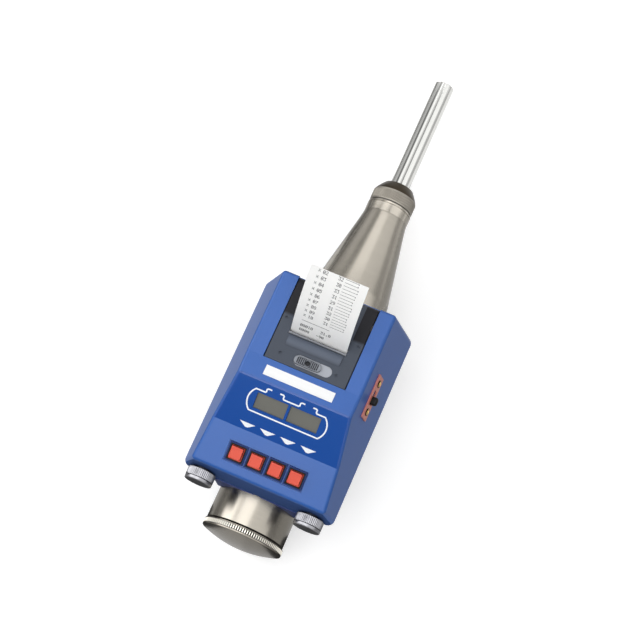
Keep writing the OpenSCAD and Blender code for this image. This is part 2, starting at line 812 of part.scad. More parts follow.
// Bottom plate of the box with the two saddles that sit on the tube
module base_saddle() color("midnightblue") {
    half = half_w(base_t) - case_wall / cos(side_draft) - base_gap;
    y0 = box_y + rear_lean + case_wall + base_gap;
    y1 = y_front - case_wall - base_gap;
    wedge = [
        [-saddle_top_half, box_z - base_gap], [-saddle_low_half, saddle_low_z],
        [saddle_low_half, saddle_low_z], [saddle_top_half, box_z - base_gap]
    ];
    screw_top = strap_screw_up + seat_gap;
    difference() {
        union() {
            block(-half, half, y0, y1, box_z, box_z + base_t);
            front_cut(wedge, box_y - saddle_tongue, y0 + rear_saddle_len);
            front_cut(wedge, front_saddle_y, front_saddle_y + front_saddle_len);
            for (y = [rear_strap_y, front_strap_y]) {
                block(-ear_half, ear_half, y, y + strap_w, strap_split / 2, ear_h);
                block(-saddle_top_half, saddle_top_half, y, y + strap_w, saddle_low_z, box_z + base_t / 2);
            }
            for (side = [-1, 1])
                block(side * thumb_x - thumb_block_w / 2, side * thumb_x + thumb_block_w / 2,
                    thumb_block_y, thumb_block_y + thumb_block_len, box_z, box_z + thumb_block_h);
            for (x = [-1, 1], y = [0, 1])
                upright(post_d, x * (main_board_half - post_inset),
                    main_board_y + post_inset + y * (main_board_len - 2 * post_inset),
                    box_z, box_z + base_t + post_h);
        }
        rod(tube_d + 2 * seat_gap, box_y - saddle_tongue - cut, y_front);
        for (side = [-1, 1]) {
            translate([side * thumb_x, 0, thumb_z])
                rod(thumb_shank_d + 2 * run_gap, thumb_block_y - cut, thumb_block_y + thumb_block_len + cut);
            for (y = [rear_strap_y, front_strap_y])
                upright(strap_screw_d + 2 * seat_gap, side * strap_screw_x, y + strap_w / 2, -cut, screw_top);
        }
    }
}

// Lower halves of the two clamps, with flat feet
module clamp_straps() color("midnightblue") {
    for (y = [rear_strap_y, front_strap_y]) {
        difference() {
            union() {
                rod(tube_d + 2 * strap_band, y, y + strap_w);
                block(-strap_foot_half, strap_foot_half, y, y + strap_w, -axis_h, -tube_r / 2);
                block(-ear_half, ear_half, y, y + strap_w, -strap_ear_t, cut);
            }
            block(-box_w, box_w, y - cut, y + strap_w + cut, -strap_split / 2, tube_d);
            rod(tube_d + 2 * seat_gap, y - cut, y + strap_w + cut);
            for (side = [-1, 1])
                upright(strap_screw_d + 2 * seat_gap, side * strap_screw_x, y + strap_w / 2, -axis_h, cut);
        }
    }
}

module strap_screws() color("silver") {
    for (y = [rear_strap_y, front_strap_y], side = [-1, 1]) {
        upright(strap_head_d, side * strap_screw_x, y + strap_w / 2,
            -strap_ear_t - strap_head_h, -strap_ear_t);
        upright(strap_screw_d, side * strap_screw_x, y + strap_w / 2, -strap_ear_t, strap_screw_up);
    }
}

// Ball at each end of a ridge and disc at each foot, for the hulls of the case
module case_station(i) {
    c = inset(i, edge_r);
    foot_y = i == 1 ? box_y + foot_r : i == LAST_CORNER ? box_y + box_len - foot_r : corners[i][0];
    for (side = [-1, 1]) {
        translate([side * (half_w(c[1]) - edge_r / cos(side_draft)), c[0], box_z + c[1]])
            sphere(edge_r, $fn = hull_fn);
        translate([side * (box_w / 2 - foot_r), foot_y, box_z])
            cylinder(r = foot_r, h = foot_h, $fn = hull_fn);
    }
}

module upper_case() color("royalblue") {
    inner_half = box_w / 2 - case_wall / cos(side_draft);
    inner_top = inner_half - (box_h + cut) * tan(side_draft);
    inner_foot = inner_half + cut * tan(side_draft);
    well_half = cover_w / 2 + cover_side_gap;
    ear_end = well_half + hinge_ear_t;
    difference() {
        union() {
            difference() {
                union() {
                    for (i = [1:LAST_CORNER - 1]) {
                        hull() {
                            case_station(i);
                            case_station(i + 1);
                        }
                    }
                }
                intersection() {
                    translate([0, 0, box_z]) side_cut(inner_line, -box_w, box_w);
                    translate([0, 0, box_z]) front_cut([
                        [-inner_foot, -cut], [inner_foot, -cut],
                        [inner_top, box_h + cut], [-inner_top, box_h + cut]
                    ], box_y - cut, box_y + box_len + cut);
                }
                block(-well_half, well_half, y_crease, box_y + box_len + cut, hinge_z, z_top + case_wall);
                cross_rod(cover_nose_d + 2 * cover_gap, -well_half, well_half, hinge_y, hinge_z);
            }
            pair(well_half, ear_end, hinge_y - hinge_ear_w / 2, hinge_y + hinge_ear_w / 2,
                hinge_z - hinge_ear_w / 2, z_top - case_wall / 2);
        }
        cross_rod(hinge_pin_d + 2 * seat_gap, -ear_end - cut, ear_end + cut, hinge_y, hinge_z);
        on_panel(LCD_PANEL, lcd_up)
            for (side = [-1, 1])
                translate([side * lcd_pitch / 2, 0, 0]) slab(lcd_w, lcd_h, -2 * case_wall, cut);
        on_panel(STRIP_PANEL) slab(label_w + 2 * seat_gap, label_h + 2 * seat_gap, -label_sunk, cut);
        on_panel(KEY_PANEL, -key_down) {
            slab(pocket_len, pocket_w, -pocket_depth, cut);
            key_places() slab(bezel_w + 2 * bezel_gap, bezel_w + 2 * bezel_gap, -2 * case_wall, cut);
        }
        on_side() {
            slab(switch_slot_w, switch_slot_len, -2 * case_wall, cut);
            switch_screw_places() translate([0, 0, -2 * case_wall])
                cylinder(d = switch_screw_d + 2 * seat_gap, h = 3 * case_wall);
        }
        for (side = [-1, 1])
            translate([side * thumb_x, 0, thumb_z])
                rod(thumb_collar_d + 2 * run_gap, box_y - cut, thumb_block_y + cut);
    }
}

module thumbscrew(side) color("gainsboro") {
    head_y = thumb_wall_y - thumb_wall_gap;
    translate([side * thumb_x, 0, thumb_z]) {
        lathe([
            [0, head_y - thumb_len], [thumb_d / 2 - thumb_chamfer, head_y - thumb_len],
            [thumb_d / 2, head_y - thumb_len + thumb_chamfer], [thumb_d / 2, head_y - thumb_chamfer],
            [thumb_d / 2 - thumb_chamfer, head_y], [thumb_collar_d / 2, head_y],
            [thumb_collar_d / 2, thumb_block_y - move_gap], [thumb_shank_d / 2, thumb_block_y - move_gap],
            [thumb_shank_d / 2, thumb_block_y + thumb_shank_len], [0, thumb_block_y + thumb_shank_len]
        ]);
    }
}
module thumbscrew_left() thumbscrew(-1);
module thumbscrew_right() thumbscrew(1);

// Dark cover with its rounded front end, two raised arms, the paper slot and the latch recess
module printer_cover() color("dimgray") {
    half = cover_w / 2;
    arm_inner = paper_w / 2 + slot_side_gap;
    latch_y = cover_rear_y + latch_back;
    under = z_top - cover_t;
    difference() {
        union() {
            block(-half, half, cover_rear_y, hinge_y, under, z_top);
            cross_rod(cover_nose_d, -half, half, hinge_y, hinge_z);
            intersection() {
                cross_rod(ridge_d, -ridge_len / 2, ridge_len / 2, slot_y - ridge_back, z_top - ridge_sunk);
                block(-half, half, cover_rear_y, hinge_y, under, z_top + ridge_d);
            }
        }
        cross_rod(hinge_pin_d + 2 * run_gap, -half - cut, half + cut, hinge_y, hinge_z);
        block(-arm_inner, arm_inner, slot_y + slot_w, hinge_y + cover_nose_d, z_top - arm_step, z_top + cut);
        block(-arm_inner, arm_inner, slot_y, slot_y + slot_w + cut, under - cut, z_top + cut);
        block(-arm_inner, arm_inner, slot_y - tear_w, slot_y + cut, z_top - tear_sunk, z_top + cut);
        translate([latch_x, latch_y, z_top]) stadium(latch_len, latch_w, -latch_depth, cut);
        block(slide_x - stem_len / 2 - seat_gap, slide_x + latch_travel + stem_len / 2 + move_gap,
            latch_y - stem_w / 2 - seat_gap, latch_y + stem_w / 2 + seat_gap, under - cut, z_top);
        for (side = [-1, 1]) {
            upright(dimple_d, side * dimple_rear_x, latch_y, z_top - dimple_depth, z_top + cut);
            upright(dimple_d, side * dimple_front_x, dimple_front_y, z_top - dimple_depth, z_top + cut);
        }
    }
}

module cover_pin() color("silver") {
    half = cover_w / 2 + cover_side_gap + hinge_ear_t;
    cross_rod(hinge_pin_d, -half, half, hinge_y, hinge_z);
}

module tear_bar() color("darkgray") {
    half = paper_w / 2 + slot_side_gap - seat_gap;
    block(-half, half, slot_y - tear_w + seat_gap, slot_y, z_top - tear_sunk, z_top + tear_proud);
}

// Pale plate on the floor of the latch recess
module latch_plate() color("lightsteelblue") {
    latch_y = cover_rear_y + latch_back;
    difference() {
        translate([latch_x, latch_y, z_top - latch_depth])
            stadium(latch_len - 2 * latch_plate_gap, latch_w - 2 * latch_plate_gap, 0, latch_plate_t);
        block(slide_x - stem_len / 2 - seat_gap, slide_x + latch_travel + stem_len / 2 + move_gap,
            latch_y - stem_w / 2 - seat_gap, latch_y + stem_w / 2 + seat_gap, z_top - cover_t, z_top);
    }
}

// Ribbed slide with a stem through the cover and a clip under it
module latch_slide() color("gray") {
    floor_z = z_top - latch_depth + latch_plate_t + seat_gap;
    slide_top = floor_z + slide_h;
    clip_z = z_top - cover_t - seat_gap;
    translate([slide_x, cover_rear_y + latch_back, 0]) {
        stadium(slide_len, slide_w, floor_z, slide_top);
        for (i = [0:slide_ribs - 1])
            translate([(i / (slide_ribs - 1) - 1 / 2) * (slide_len - slide_w), 0, 0])
                slab(slide_rib_w, slide_rib_len, slide_top - slide_rib_h, slide_top + slide_rib_h);
        slab(stem_len, stem_w, clip_z - clip_t, floor_z + slide_h / 2);
        slab(clip_len, clip_w, clip_z - clip_t, clip_z);
    }
}

// Printed strip that stands out of the slot and curls forward
module paper_strip() color("white") {
    steps = [for (i = [0:paper_steps]) -paper_tail + (paper_out + paper_tail) * i / paper_steps];
    rim = concat(
        [for (l = steps) paper_point(l, 0)],
        [for (i = [paper_steps:-1:0]) paper_point(steps[i], paper_t)]
    );
    side_cut(rim, -paper_w / 2, paper_w / 2);
}

module printer_frame() color("darkslategray") {
    y1 = frame_rear_y + frame_len;
    plate_x = frame_half + frame_t;
    difference() {
        union() {
            block(-plate_x, plate_x, frame_rear_y, y1, frame_z, frame_z + frame_t);
            pair(frame_half, plate_x, frame_rear_y, y1, frame_z, frame_z + frame_h);
            for (y = [frame_rear_y, y1 - frame_leg_w])
                pair(plate_x - frame_leg_w, plate_x, y, y + frame_leg_w, box_z + base_t, frame_z + frame_t);
        }
        cross_rod(platen_shaft_d + 2 * run_gap, -plate_x - cut, plate_x + cut, platen_y, platen_z);
        cross_rod(spindle_d + 2 * run_gap, -plate_x - cut, plate_x + cut, roll_y, roll_z);
        cross_rod(motor_shaft_d + 2 * move_gap, -plate_x - cut, 0, motor_y, motor_z);
    }
}

module platen_roller() color("black") {
    difference() {
        cross_rod(platen_d, -frame_half + cut, frame_half - cut, platen_y, platen_z);
        cross_rod(platen_shaft_d + 2 * run_gap, -frame_half, frame_half, platen_y, platen_z);
    }
}

module platen_shaft() color("silver")
    cross_rod(platen_shaft_d, gear_x, frame_half + frame_t + spindle_out, platen_y, platen_z);

// Spur gear standing on the plane x = 0, with one tooth towards the given angle
module spur(teeth, bore_d, angle) {
    rotate([90, 0, 90]) rotate([0, 0, angle]) difference() {
        linear_extrude(gear_w) polygon([for (i = [0:teeth - 1]) each tooth(i, teeth)]);
        translate([0, 0, -cut]) cylinder(d = bore_d, h = gear_w + 2 * cut);
    }
}

module platen_gear() color("ivory")
    translate([gear_x, platen_y, platen_z]) spur(gear_teeth, platen_shaft_d + 2 * run_gap, mesh_angle);

module motor() color("silver") {
    difference() {
        cross_rod(motor_d, -frame_half, motor_len - frame_half, motor_y, motor_z);
        cross_rod(motor_shaft_d + 2 * run_gap, -frame_half - cut, motor_len - motor_d / 2 - frame_half,
            motor_y, motor_z);
    }
}

// Shaft and pinion of the motor; a gap of the pinion faces the platen gear
module motor_pinion() color("goldenrod") {
    cross_rod(motor_shaft_d, gear_x, motor_len / 2 - frame_half, motor_y, motor_z);
    translate([gear_x, motor_y, motor_z])
        spur(pinion_teeth, motor_shaft_d / 2, mesh_angle + 180 + 180 / pinion_teeth);
}

module print_head() color("dimgray") {
    y1 = platen_y - platen_d / 2 - head_gap;
    z0 = platen_z + head_lift - head_h / 2;
    block(-frame_half, frame_half, y1 - head_len, y1, z0, z0 + head_h);
}

module paper_roll() color("white") {
    difference() {
        cross_rod(roll_d, -paper_w / 2, paper_w / 2, roll_y, roll_z);
        cross_rod(core_d, -paper_w, paper_w, roll_y, roll_z);
    }
}

module paper_spindle() color("ivory") {
    cross_rod(core_d - 2 * seat_gap, -frame_half + cut, frame_half - cut, roll_y, roll_z);
    cross_rod(spindle_d, -frame_half - frame_t - spindle_out, frame_half + frame_t + spindle_out,
        roll_y, roll_z);
}

module main_board() color("darkgreen")
    block(-main_board_half, main_board_half, main_board_y, main_board_y + main_board_len,
        box_z + base_t + post_h, box_z + base_t + post_h + board_t);

// Displays with a glass that stands in the window and a wider back against the inside of the wall
module lcd_modules() color("darkolivegreen") {
    on_panel(LCD_PANEL, lcd_up) {
        for (side = [-1, 1]) {
            translate([side * lcd_pitch / 2, 0, 0]) {
                slab(lcd_w - 2 * lcd_gap, lcd_h - 2 * lcd_gap, -case_wall - lcd_back_t, -lcd_sunk);
                slab(lcd_pitch - lcd_gap, lcd_h + 2 * lcd_frame, -case_wall - lcd_back_t, -case_wall);
            }
        }
    }
}

module display_board() color("darkgreen")
    on_panel(LCD_PANEL, lcd_up)
        slab(display_board_len, display_board_w,
            -case_wall - lcd_back_t - board_t, -case_wall - lcd_back_t);

module label_plate() color("white")
    on_panel(STRIP_PANEL) slab(label_w, label_h, -label_sunk, label_t - label_sunk);

module key_bezels() color("black") {
    on_panel(KEY_PANEL, -key_down) key_places() difference() {
        slab(bezel_w, bezel_w, -bezel_deep, bezel_up);
        slab(key_w + 2 * key_side_gap, key_w + 2 * key_side_gap, -bezel_deep - cut, bezel_up + cut);
    }
}

module key(i) color("tomato")
    on_panel(KEY_PANEL, -key_down)
        translate([(i - (key_count - 1) / 2) * key_pitch, 0, 0]) slab(key_w, key_w, -key_deep, key_up);
module key_1() key(0);
module key_2() key(1);
module key_3() key(2);
module key_4() key(3);

// Board under the keys with one switch body below each
module key_board() color("darkgreen") {
    on_panel(KEY_PANEL, -key_down) {
        slab(key_board_len, key_board_w, -bezel_deep - board_t, -bezel_deep);
        key_places() slab(key_switch_w, key_switch_w, -bezel_deep, -key_deep - key_travel - move_gap);
    }
}

module switch_plate() color("salmon") {
    on_side() difference() {
        slab(switch_plate_h, switch_plate_len, seat_gap, switch_plate_t);
        slab(switch_slot_w, switch_slot_len, -cut, switch_plate_t + cut);
        switch_screw_places()
            translate([0, 0, -cut]) cylinder(d = switch_screw_d + 2 * seat_gap, h = switch_plate_t + 2 * cut);
    }
}

module switch_screws() color("goldenrod") {
    on_side() switch_screw_places() {
        translate([0, 0, switch_plate_t]) cylinder(d = switch_head_d, h = switch_head_h);
        translate([0, 0, -case_wall]) cylinder(d = switch_screw_d, h = case_wall + switch_plate_t);
    }
}

// Knob at the rear end of its slot, with a foot in the switch body
module switch_knob() color("black") {
    on_side() translate([0, -switch_travel / 2, 0])
        slab(knob_w, knob_len, -case_wall - knob_in, switch_plate_t + knob_out);
}

module switch_body() color("silver") {
    on_side() difference() {
        slab(switch_body_w, switch_body_len, -case_wall - switch_body_h, -case_wall);
        slab(switch_slot_w, switch_slot_len, -case_wall - knob_pocket, cut);
    }
}

module battery_tray() color("black") {
    half = cell_count * cell_pitch / 2 + tray_wall;
    z0 = box_z + base_t;
    difference() {
        block(-half, half, tray_y, tray_y + tray_len, z0, z0 + tray_wall_h);
        block(-half + tray_wall, half - tray_wall, tray_y + tray_wall, tray_y + tray_len - tray_wall,
            z0 + tray_wall, z0 + tray_wall_h + cut);
    }
}

module battery_cells() color("steelblue") {
    z = box_z + base_t + tray_wall + cell_d / 2 + seat_gap;
    y0 = tray_y + tray_wall + tray_gap;
    for (i = [0:cell_count - 1])
        translate([(i - (cell_count - 1) / 2) * cell_pitch, 0, z]) rod(cell_d, y0, y0 + cell_len);
}

placed() housing();
placed() rear_cap();
placed() trip_screw();
placed() lock_nut();
placed() nose_ring();
placed() felt_seal();
placed() spring_seat();
placed() plunger();
placed() split_ring();
placed() buffer_spring();
placed() guide_rod();
placed() carrier_disc();
placed() pawl();
placed() pawl_pin();
placed() hammer_mass();
placed() impact_spring();
placed() compression_spring();
placed() lock_bush();
placed() lock_button();
placed() lock_spring();
placed() sensor_rail();
placed() rider();
placed() base_saddle();
placed() clamp_straps();
placed() strap_screws();
placed() upper_case();
placed() thumbscrew_left();
placed() thumbscrew_right();
placed() printer_cover();
placed() cover_pin();
placed() tear_bar();
placed() latch_plate();
placed() latch_slide();
placed() paper_strip();
placed() printer_frame();
placed() platen_roller();
placed() platen_shaft();
placed() platen_gear();
placed() motor();
placed() motor_pinion();
placed() print_head();
placed() paper_roll();
placed() paper_spindle();
placed() main_board();
placed() display_board();
placed() lcd_modules();
placed() label_plate();
placed() key_bezels();
placed() key_1();
placed() key_2();
placed() key_3();
placed() key_4();
placed() key_board();
placed() switch_plate();
placed() switch_screws();
placed() switch_knob();
placed() switch_body();
placed() battery_tray();
placed() battery_cells();
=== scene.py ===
"""Concrete test hammer: surfaces worked out with numpy and procedural materials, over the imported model."""
import math

import bmesh
import bpy
import numpy as np
from mathutils import Matrix, Vector


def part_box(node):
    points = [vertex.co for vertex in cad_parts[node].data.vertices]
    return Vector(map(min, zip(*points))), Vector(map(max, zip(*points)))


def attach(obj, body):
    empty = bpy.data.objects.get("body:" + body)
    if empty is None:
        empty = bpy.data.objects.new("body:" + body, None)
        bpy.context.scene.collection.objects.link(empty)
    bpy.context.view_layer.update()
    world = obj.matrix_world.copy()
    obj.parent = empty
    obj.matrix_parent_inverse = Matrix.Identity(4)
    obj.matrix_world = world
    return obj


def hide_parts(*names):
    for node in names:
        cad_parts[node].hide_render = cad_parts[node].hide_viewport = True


bl_info = {
    "name": "Concrete Test Hammer",
    "version": (1, 0, 0),
    "blender": (4, 5, 0),
    "location": "3D View > Sidebar > Hammer",
    "description": "Dresses the packed test hammer with turned, moulded and printed surfaces",
    "category": "Object",
}

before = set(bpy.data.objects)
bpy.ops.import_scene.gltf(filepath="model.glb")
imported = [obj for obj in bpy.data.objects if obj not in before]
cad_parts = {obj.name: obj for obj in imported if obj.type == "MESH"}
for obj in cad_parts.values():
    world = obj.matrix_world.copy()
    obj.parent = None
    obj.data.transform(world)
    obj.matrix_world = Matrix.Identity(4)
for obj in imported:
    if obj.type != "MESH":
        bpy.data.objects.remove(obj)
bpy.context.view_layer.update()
MM = 0.001
# Rear end of the cap along Y, and height of the tube's axis, in metres
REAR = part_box("rear_cap")[0][1]
AXIS = (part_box("plunger")[0][2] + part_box("plunger")[1][2]) / 2
TURN = 2 * math.pi


def linear(code):
    """An sRGB hex colour as linear red, green, blue and alpha."""
    part = np.array([int(code[i:i + 2], 16) for i in (1, 3, 5)]) / 255
    part = np.where(part <= 0.04045, part / 12.92, ((part + 0.055) / 1.055) ** 2.4)
    return (*part.tolist(), 1.0)


# Sizes and colours that a user would change


def length(name, text, mm):
    """A property for a length, given in millimetres."""
    return bpy.props.FloatProperty(name=name, description=text, default=mm * MM, unit="LENGTH", precision=5)


def colour(name, text, code):
    """A property for a colour, given as sRGB hex."""
    return bpy.props.FloatVectorProperty(name=name, description=text, default=linear(code), size=4, min=0, max=1,
                                         subtype="COLOR")


class HammerSizes(bpy.types.PropertyGroup):
    cap_pitch: length("Cap knurl pitch", "Distance between the straight ticks on the cap's rim", 1.75)
    cap_depth: length("Cap knurl depth", "Depth of the straight ticks", 0.9)
    nose_pitch: length("Nose knurl pitch", "Distance between the diamonds on the nose ring", 1.6)
    nose_depth: length("Nose knurl depth", "Depth of the diamonds", 0.45)
    thumb_pitch: length("Thumbscrew knurl pitch", "Distance between the fine ticks on a thumbscrew", 1.3)
    thumb_depth: length("Thumbscrew knurl depth", "Depth of those ticks", 0.35)
    blend: length("Cone blend", "Length of the hollow blend from the cone to the neck", 13)
    line: length("Display line", "Width of the white line round the displays", 1.0)
    dot: length("Print dot", "Side of a dot on the paper", 0.38)
    rib: length("Latch rib pitch", "Distance between the ribs of the latch slide", 1.3)
    tooth: length("Tear tooth pitch", "Distance between the teeth of the tear bar", 1.1)


class HammerColours(bpy.types.PropertyGroup):
    case: colour("Case", "Moulded blue of the box", "#2157A4")
    film: colour("Display film", "Deeper printed blue of the display panel", "#1A4D9E")
    cover: colour("Cover", "Grey of the printer cover", "#424853")
    keys: colour("Keys", "Red of the keys", "#DE5642")
    plate: colour("Switch plate", "Salmon of the switch plate", "#CF7C6C")
    glass: colour("Display glass", "Olive grey of the displays at rest", "#6F6F69")
    nickel: colour("Nickel", "Satin plate of the tube", "#948F86")
    taper: colour("Taper", "Dark front of the nose ring", "#40392F")


def size(name):
    """One of the sizes as the scene has it, in millimetres."""
    return getattr(bpy.context.scene.hammer_sizes, name) / MM


# Places: millimetres from the rear end and from the tube's axis, as metres in the frame


def place(x, s, z):
    """x across, s from the rear end of the cap, z over the axis of the tube."""
    x, s, z = np.broadcast_arrays(x, s, z)
    return np.stack([x * MM, s * MM + REAR, z * MM + AXIS], axis=-1)


def extent(node):
    """Lowest and highest corner of a CAD node, in the millimetres that place takes."""
    return [(np.array(corner) - (0, REAR, AXIS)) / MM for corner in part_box(node)]


def middle(node):
    """Middle of a CAD node's box, in the same millimetres."""
    return sum(extent(node)) / 2


def on_panel(panel, x, up, out):
    """x across, up along the panel's slope and out along its normal."""
    mid_s, mid_z, slope = panel
    c, n = math.cos(slope), math.sin(slope)
    return place(x, mid_s + up * c - out * n, mid_z + up * n + out * c)


def on_side(along, up, out):
    """On the leaning right side: along the tube, up the wall and out along its normal."""
    c, _, n = SIDE_NORMAL
    return place(SWITCH[0] + out * c - up * n, SWITCH[1] + along, SWITCH[2] + out * n + up * c)


def on_paper(x, run, out):
    """x across, run along the paper from the slot and out from its middle layer, on an arc that flattens out.
    A slight hollow across the strip grows with the squares of x and of run."""
    out = out + 0.35 * np.clip(run / PAPER_RUN, 0, 1) ** 2 * (x / PAPER_HALF) ** 2
    angle = PAPER_RISE - run / PAPER_R
    s = PAPER_S + PAPER_R * math.sin(PAPER_RISE) - (PAPER_R + out) * np.sin(angle)
    return place(x, s, PAPER_Z - PAPER_R * math.cos(PAPER_RISE) + (PAPER_R + out) * np.cos(angle))


# Tube: radius, bore, radius of the neck, stations where the cone starts, where the neck starts and where it ends
TUBE_R, TUBE_BORE, NECK_R = 28.7, 26.0, 16.75
CONE_S, NECK_S, TUBE_END = 201.4, 264.4, 274.9
# Radius and stations of the knurled bands on the cap and on the nose ring, and radius of the plunger
CAP_R, CAP_BAND = 29.7, (6.85, 9.55)
NOSE_R, NOSE_BAND = 16.7, (276.6, 283.2)
PLUNGER_R = 7.5
# Panels: station and height of the middle, and slope
KEY_PANEL = (50.8, 58.55, math.atan2(10.1, 29.6))
LCD_PANEL = (81.45, 72.3, math.atan2(17.4, 31.7))
KEY_NORMAL, LCD_NORMAL = ((0, -math.sin(slope), math.cos(slope)) for _, _, slope in (KEY_PANEL, LCD_PANEL))
# Distance between keys, and how far up the panel their row lies from its middle
KEY_PITCH, KEY_UP = 14.3, -1.1
# The right side leans inwards; SWITCH is the point on it under the middle of the switch plate
SIDE_LEAN, PLATE_OUT = math.radians(15.8), 0.62
SIDE_NORMAL = (math.cos(SIDE_LEAN), 0, math.sin(SIDE_LEAN))
SWITCH = middle("switch_plate") - PLATE_OUT * np.array(SIDE_NORMAL)
# Paper: radius of its curl, rise at the slot, station and height of the slot, half width, length above the slot
# and below it, half thickness
PAPER_R, PAPER_RISE, PAPER_S, PAPER_Z = 91.0, math.radians(71), 138.7, 79.8
PAPER_HALF, PAPER_RUN, PAPER_TAIL, PAPER_THIN = 20.5, 56.5, 3, 0.15
# Printing ink reaches from just under a face to just over it
INK_LOW, INK_HIGH, INK_ON_PAPER = -0.02, 0.05, 0.03


# Surfaces


def quads(rows, cols, ring_rows=False):
    """Four-sided faces of a grid of points whose columns run round; ring_rows joins the last row to the first."""
    i = np.arange(rows if ring_rows else rows - 1)[:, None]
    j = np.arange(cols)[None, :]
    k, m = (i + 1) % rows, (j + 1) % cols
    return np.stack([i * cols + j, i * cols + m, k * cols + m, k * cols + j], -1).reshape(-1, 4).tolist()


def solid(name, points, faces, body, slot, finish, stands_for=(), sharp=35):
    """One object from points and faces, turned outwards, that rides on a body and stands for CAD nodes. Edges of
    more than sharp degrees stay sharp."""
    mesh = bpy.data.meshes.new(name)
    mesh.from_pydata(points.tolist(), [], faces)
    shell = bmesh.new()
    shell.from_mesh(mesh)
    bmesh.ops.recalc_face_normals(shell, faces=shell.faces)
    shell.to_mesh(mesh)
    shell.free()
    mesh.shade_smooth()
    mesh.set_sharp_from_angle(angle=math.radians(sharp))
    mesh.materials.append(finishes()[finish])
    piece = bpy.data.objects.new(name, mesh)
    bpy.context.scene.collection.objects.link(piece)
    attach(piece, body)
    if stands_for:
        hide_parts(*stands_for)


def turned(profile, turns, cut=None, centre=(0, 0)):
    """Solid of revolution: x = r sin t, z = r cos t, with r from the profile (station, radius), less cut(s, t).
    A profile that starts and ends on the axis gets a pole at each end; any other one is closed as a ring."""
    s, r = np.asarray(profile, float).T
    t = np.linspace(0, TURN, turns, endpoint=False)
    if r[0] == 0:
        s, r, ends = s[1:-1], r[1:-1], (s[0], s[-1])
    else:
        ends = ()
    s, r = s[:, None], r[:, None]
    if cut:
        r = r - cut(s, t)
    points = place(centre[0] + r * np.sin(t), s, centre[1] + r * np.cos(t)).reshape(-1, 3)
    rows = len(s)
    faces = quads(rows, turns, ring_rows=not ends)
    if ends:
        j = np.arange(turns)
        near, far = rows * turns, rows * turns + 1
        last = (rows - 1) * turns
        faces += np.stack([j * 0 + near, (j + 1) % turns, j], -1).tolist()
        faces += np.stack([j * 0 + far, last + j, last + (j + 1) % turns], -1).tolist()
        points = np.concatenate([points, place(centre[0], np.array(ends), centre[1])])
    return points, faces


def windowed(points, faces, turns, outer, inner, first, last):
    """Takes a window out of both walls of a turned tube and lines it. The outer wall's rows are outer and the
    next one, the inner wall's are inner and the next one, which runs the other way; columns are first to last."""
    kept = [face for k, face in enumerate(faces)
            if k // turns not in (outer, inner) or not first <= k % turns < last]
    path = [(0, j) for j in range(first, last + 1)] + [(1, j) for j in range(last, first - 1, -1)]
    out = [(outer + k) * turns + j for k, j in path]
    back = [(inner + 1 - k) * turns + j for k, j in path]
    n = len(path)
    return points, kept + [[out[i], out[(i + 1) % n], back[(i + 1) % n], back[i]] for i in range(n)]


def stacked(loops):
    """Loops of points laid on each other, closed by a flat face at each end."""
    rows, cols = loops.shape[:2]
    end = np.arange(cols)
    faces = quads(rows, cols) + [end[::-1].tolist(), ((rows - 1) * cols + end).tolist()]
    return loops.reshape(-1, 3), faces


def joined(parts):
    """Several surfaces as one list of points and one of faces."""
    points, faces, first = [], [], 0
    for p, f in parts:
        points.append(p)
        faces += [[first + i for i in face] for face in f]
        first += len(p)
    return np.concatenate(points), faces


def bricks(low, high, where):
    """Many small blocks between two lists of corners in the coordinates of where(a, b, c)."""
    pick = np.array([[0, 0, 0], [1, 0, 0], [1, 1, 0], [0, 1, 0], [0, 0, 1], [1, 0, 1], [1, 1, 1], [0, 1, 1]])
    corner = low[:, None, :] + pick[None] * (high - low)[:, None, :]
    side = np.array([[0, 3, 2, 1], [4, 5, 6, 7], [0, 1, 5, 4], [1, 2, 6, 5], [2, 3, 7, 6], [3, 0, 4, 7]])
    faces = (np.arange(len(low))[:, None, None] * 8 + side[None]).reshape(-1, 4).tolist()
    return where(corner[..., 0], corner[..., 1], corner[..., 2]).reshape(-1, 3), faces


def ribbon(path, width, where, low, high):
    """Flat band along a path (a, b): each point is shifted by half a width along the mean normal of its sides."""
    path = np.asarray(path, float)
    step = np.diff(path, axis=0)
    step /= np.linalg.norm(step, axis=1, keepdims=True)
    ahead, behind = np.vstack([step, step[-1:]]), np.vstack([step[:1], step])
    tangent = ahead + behind
    tangent /= np.linalg.norm(tangent, axis=1, keepdims=True)
    reach = width / 2 / np.maximum((tangent * ahead).sum(1, keepdims=True), 0.5)
    side = np.stack([-tangent[:, 1], tangent[:, 0]], -1) * reach
    a, b = path + side, path - side
    loop = np.stack([a, b, b, a], 1)
    return stacked(where(loop[..., 0], loop[..., 1], np.array([high, high, low, low])))


def rounded(power, count):
    """Superellipse |x|^n + |y|^n = 1, as count points."""
    t = np.linspace(0, TURN, count, endpoint=False)
    c, n = np.cos(t), np.sin(t)
    return np.sign(c) * np.abs(c) ** (2 / power), np.sign(n) * np.abs(n) ** (2 / power)


# Materials


def add(tree, kind, inputs=None, **settings):
    """Adds a node, sets what it is given, and links or fills its inputs by name or number. A node given as an
    input stands for its first output."""
    made = tree.nodes.new(kind)
    for key, value in settings.items():
        setattr(made, key, value)
    for key, value in (inputs or {}).items():
        if isinstance(value, bpy.types.Node):
            value = value.outputs[0]
        if isinstance(value, bpy.types.NodeSocket):
            tree.links.new(value, made.inputs[key])
        else:
            made.inputs[key].default_value = value
    return made


def emptied(owner):
    """The node tree of a new material or world, with nothing in it."""
    owner.use_nodes = True
    owner.node_tree.nodes.clear()
    return owner.node_tree


def shade(code, factor):
    """A linear colour made lighter or darker."""
    return tuple(min(v * factor, 1.0) for v in code[:3]) + (1.0,)


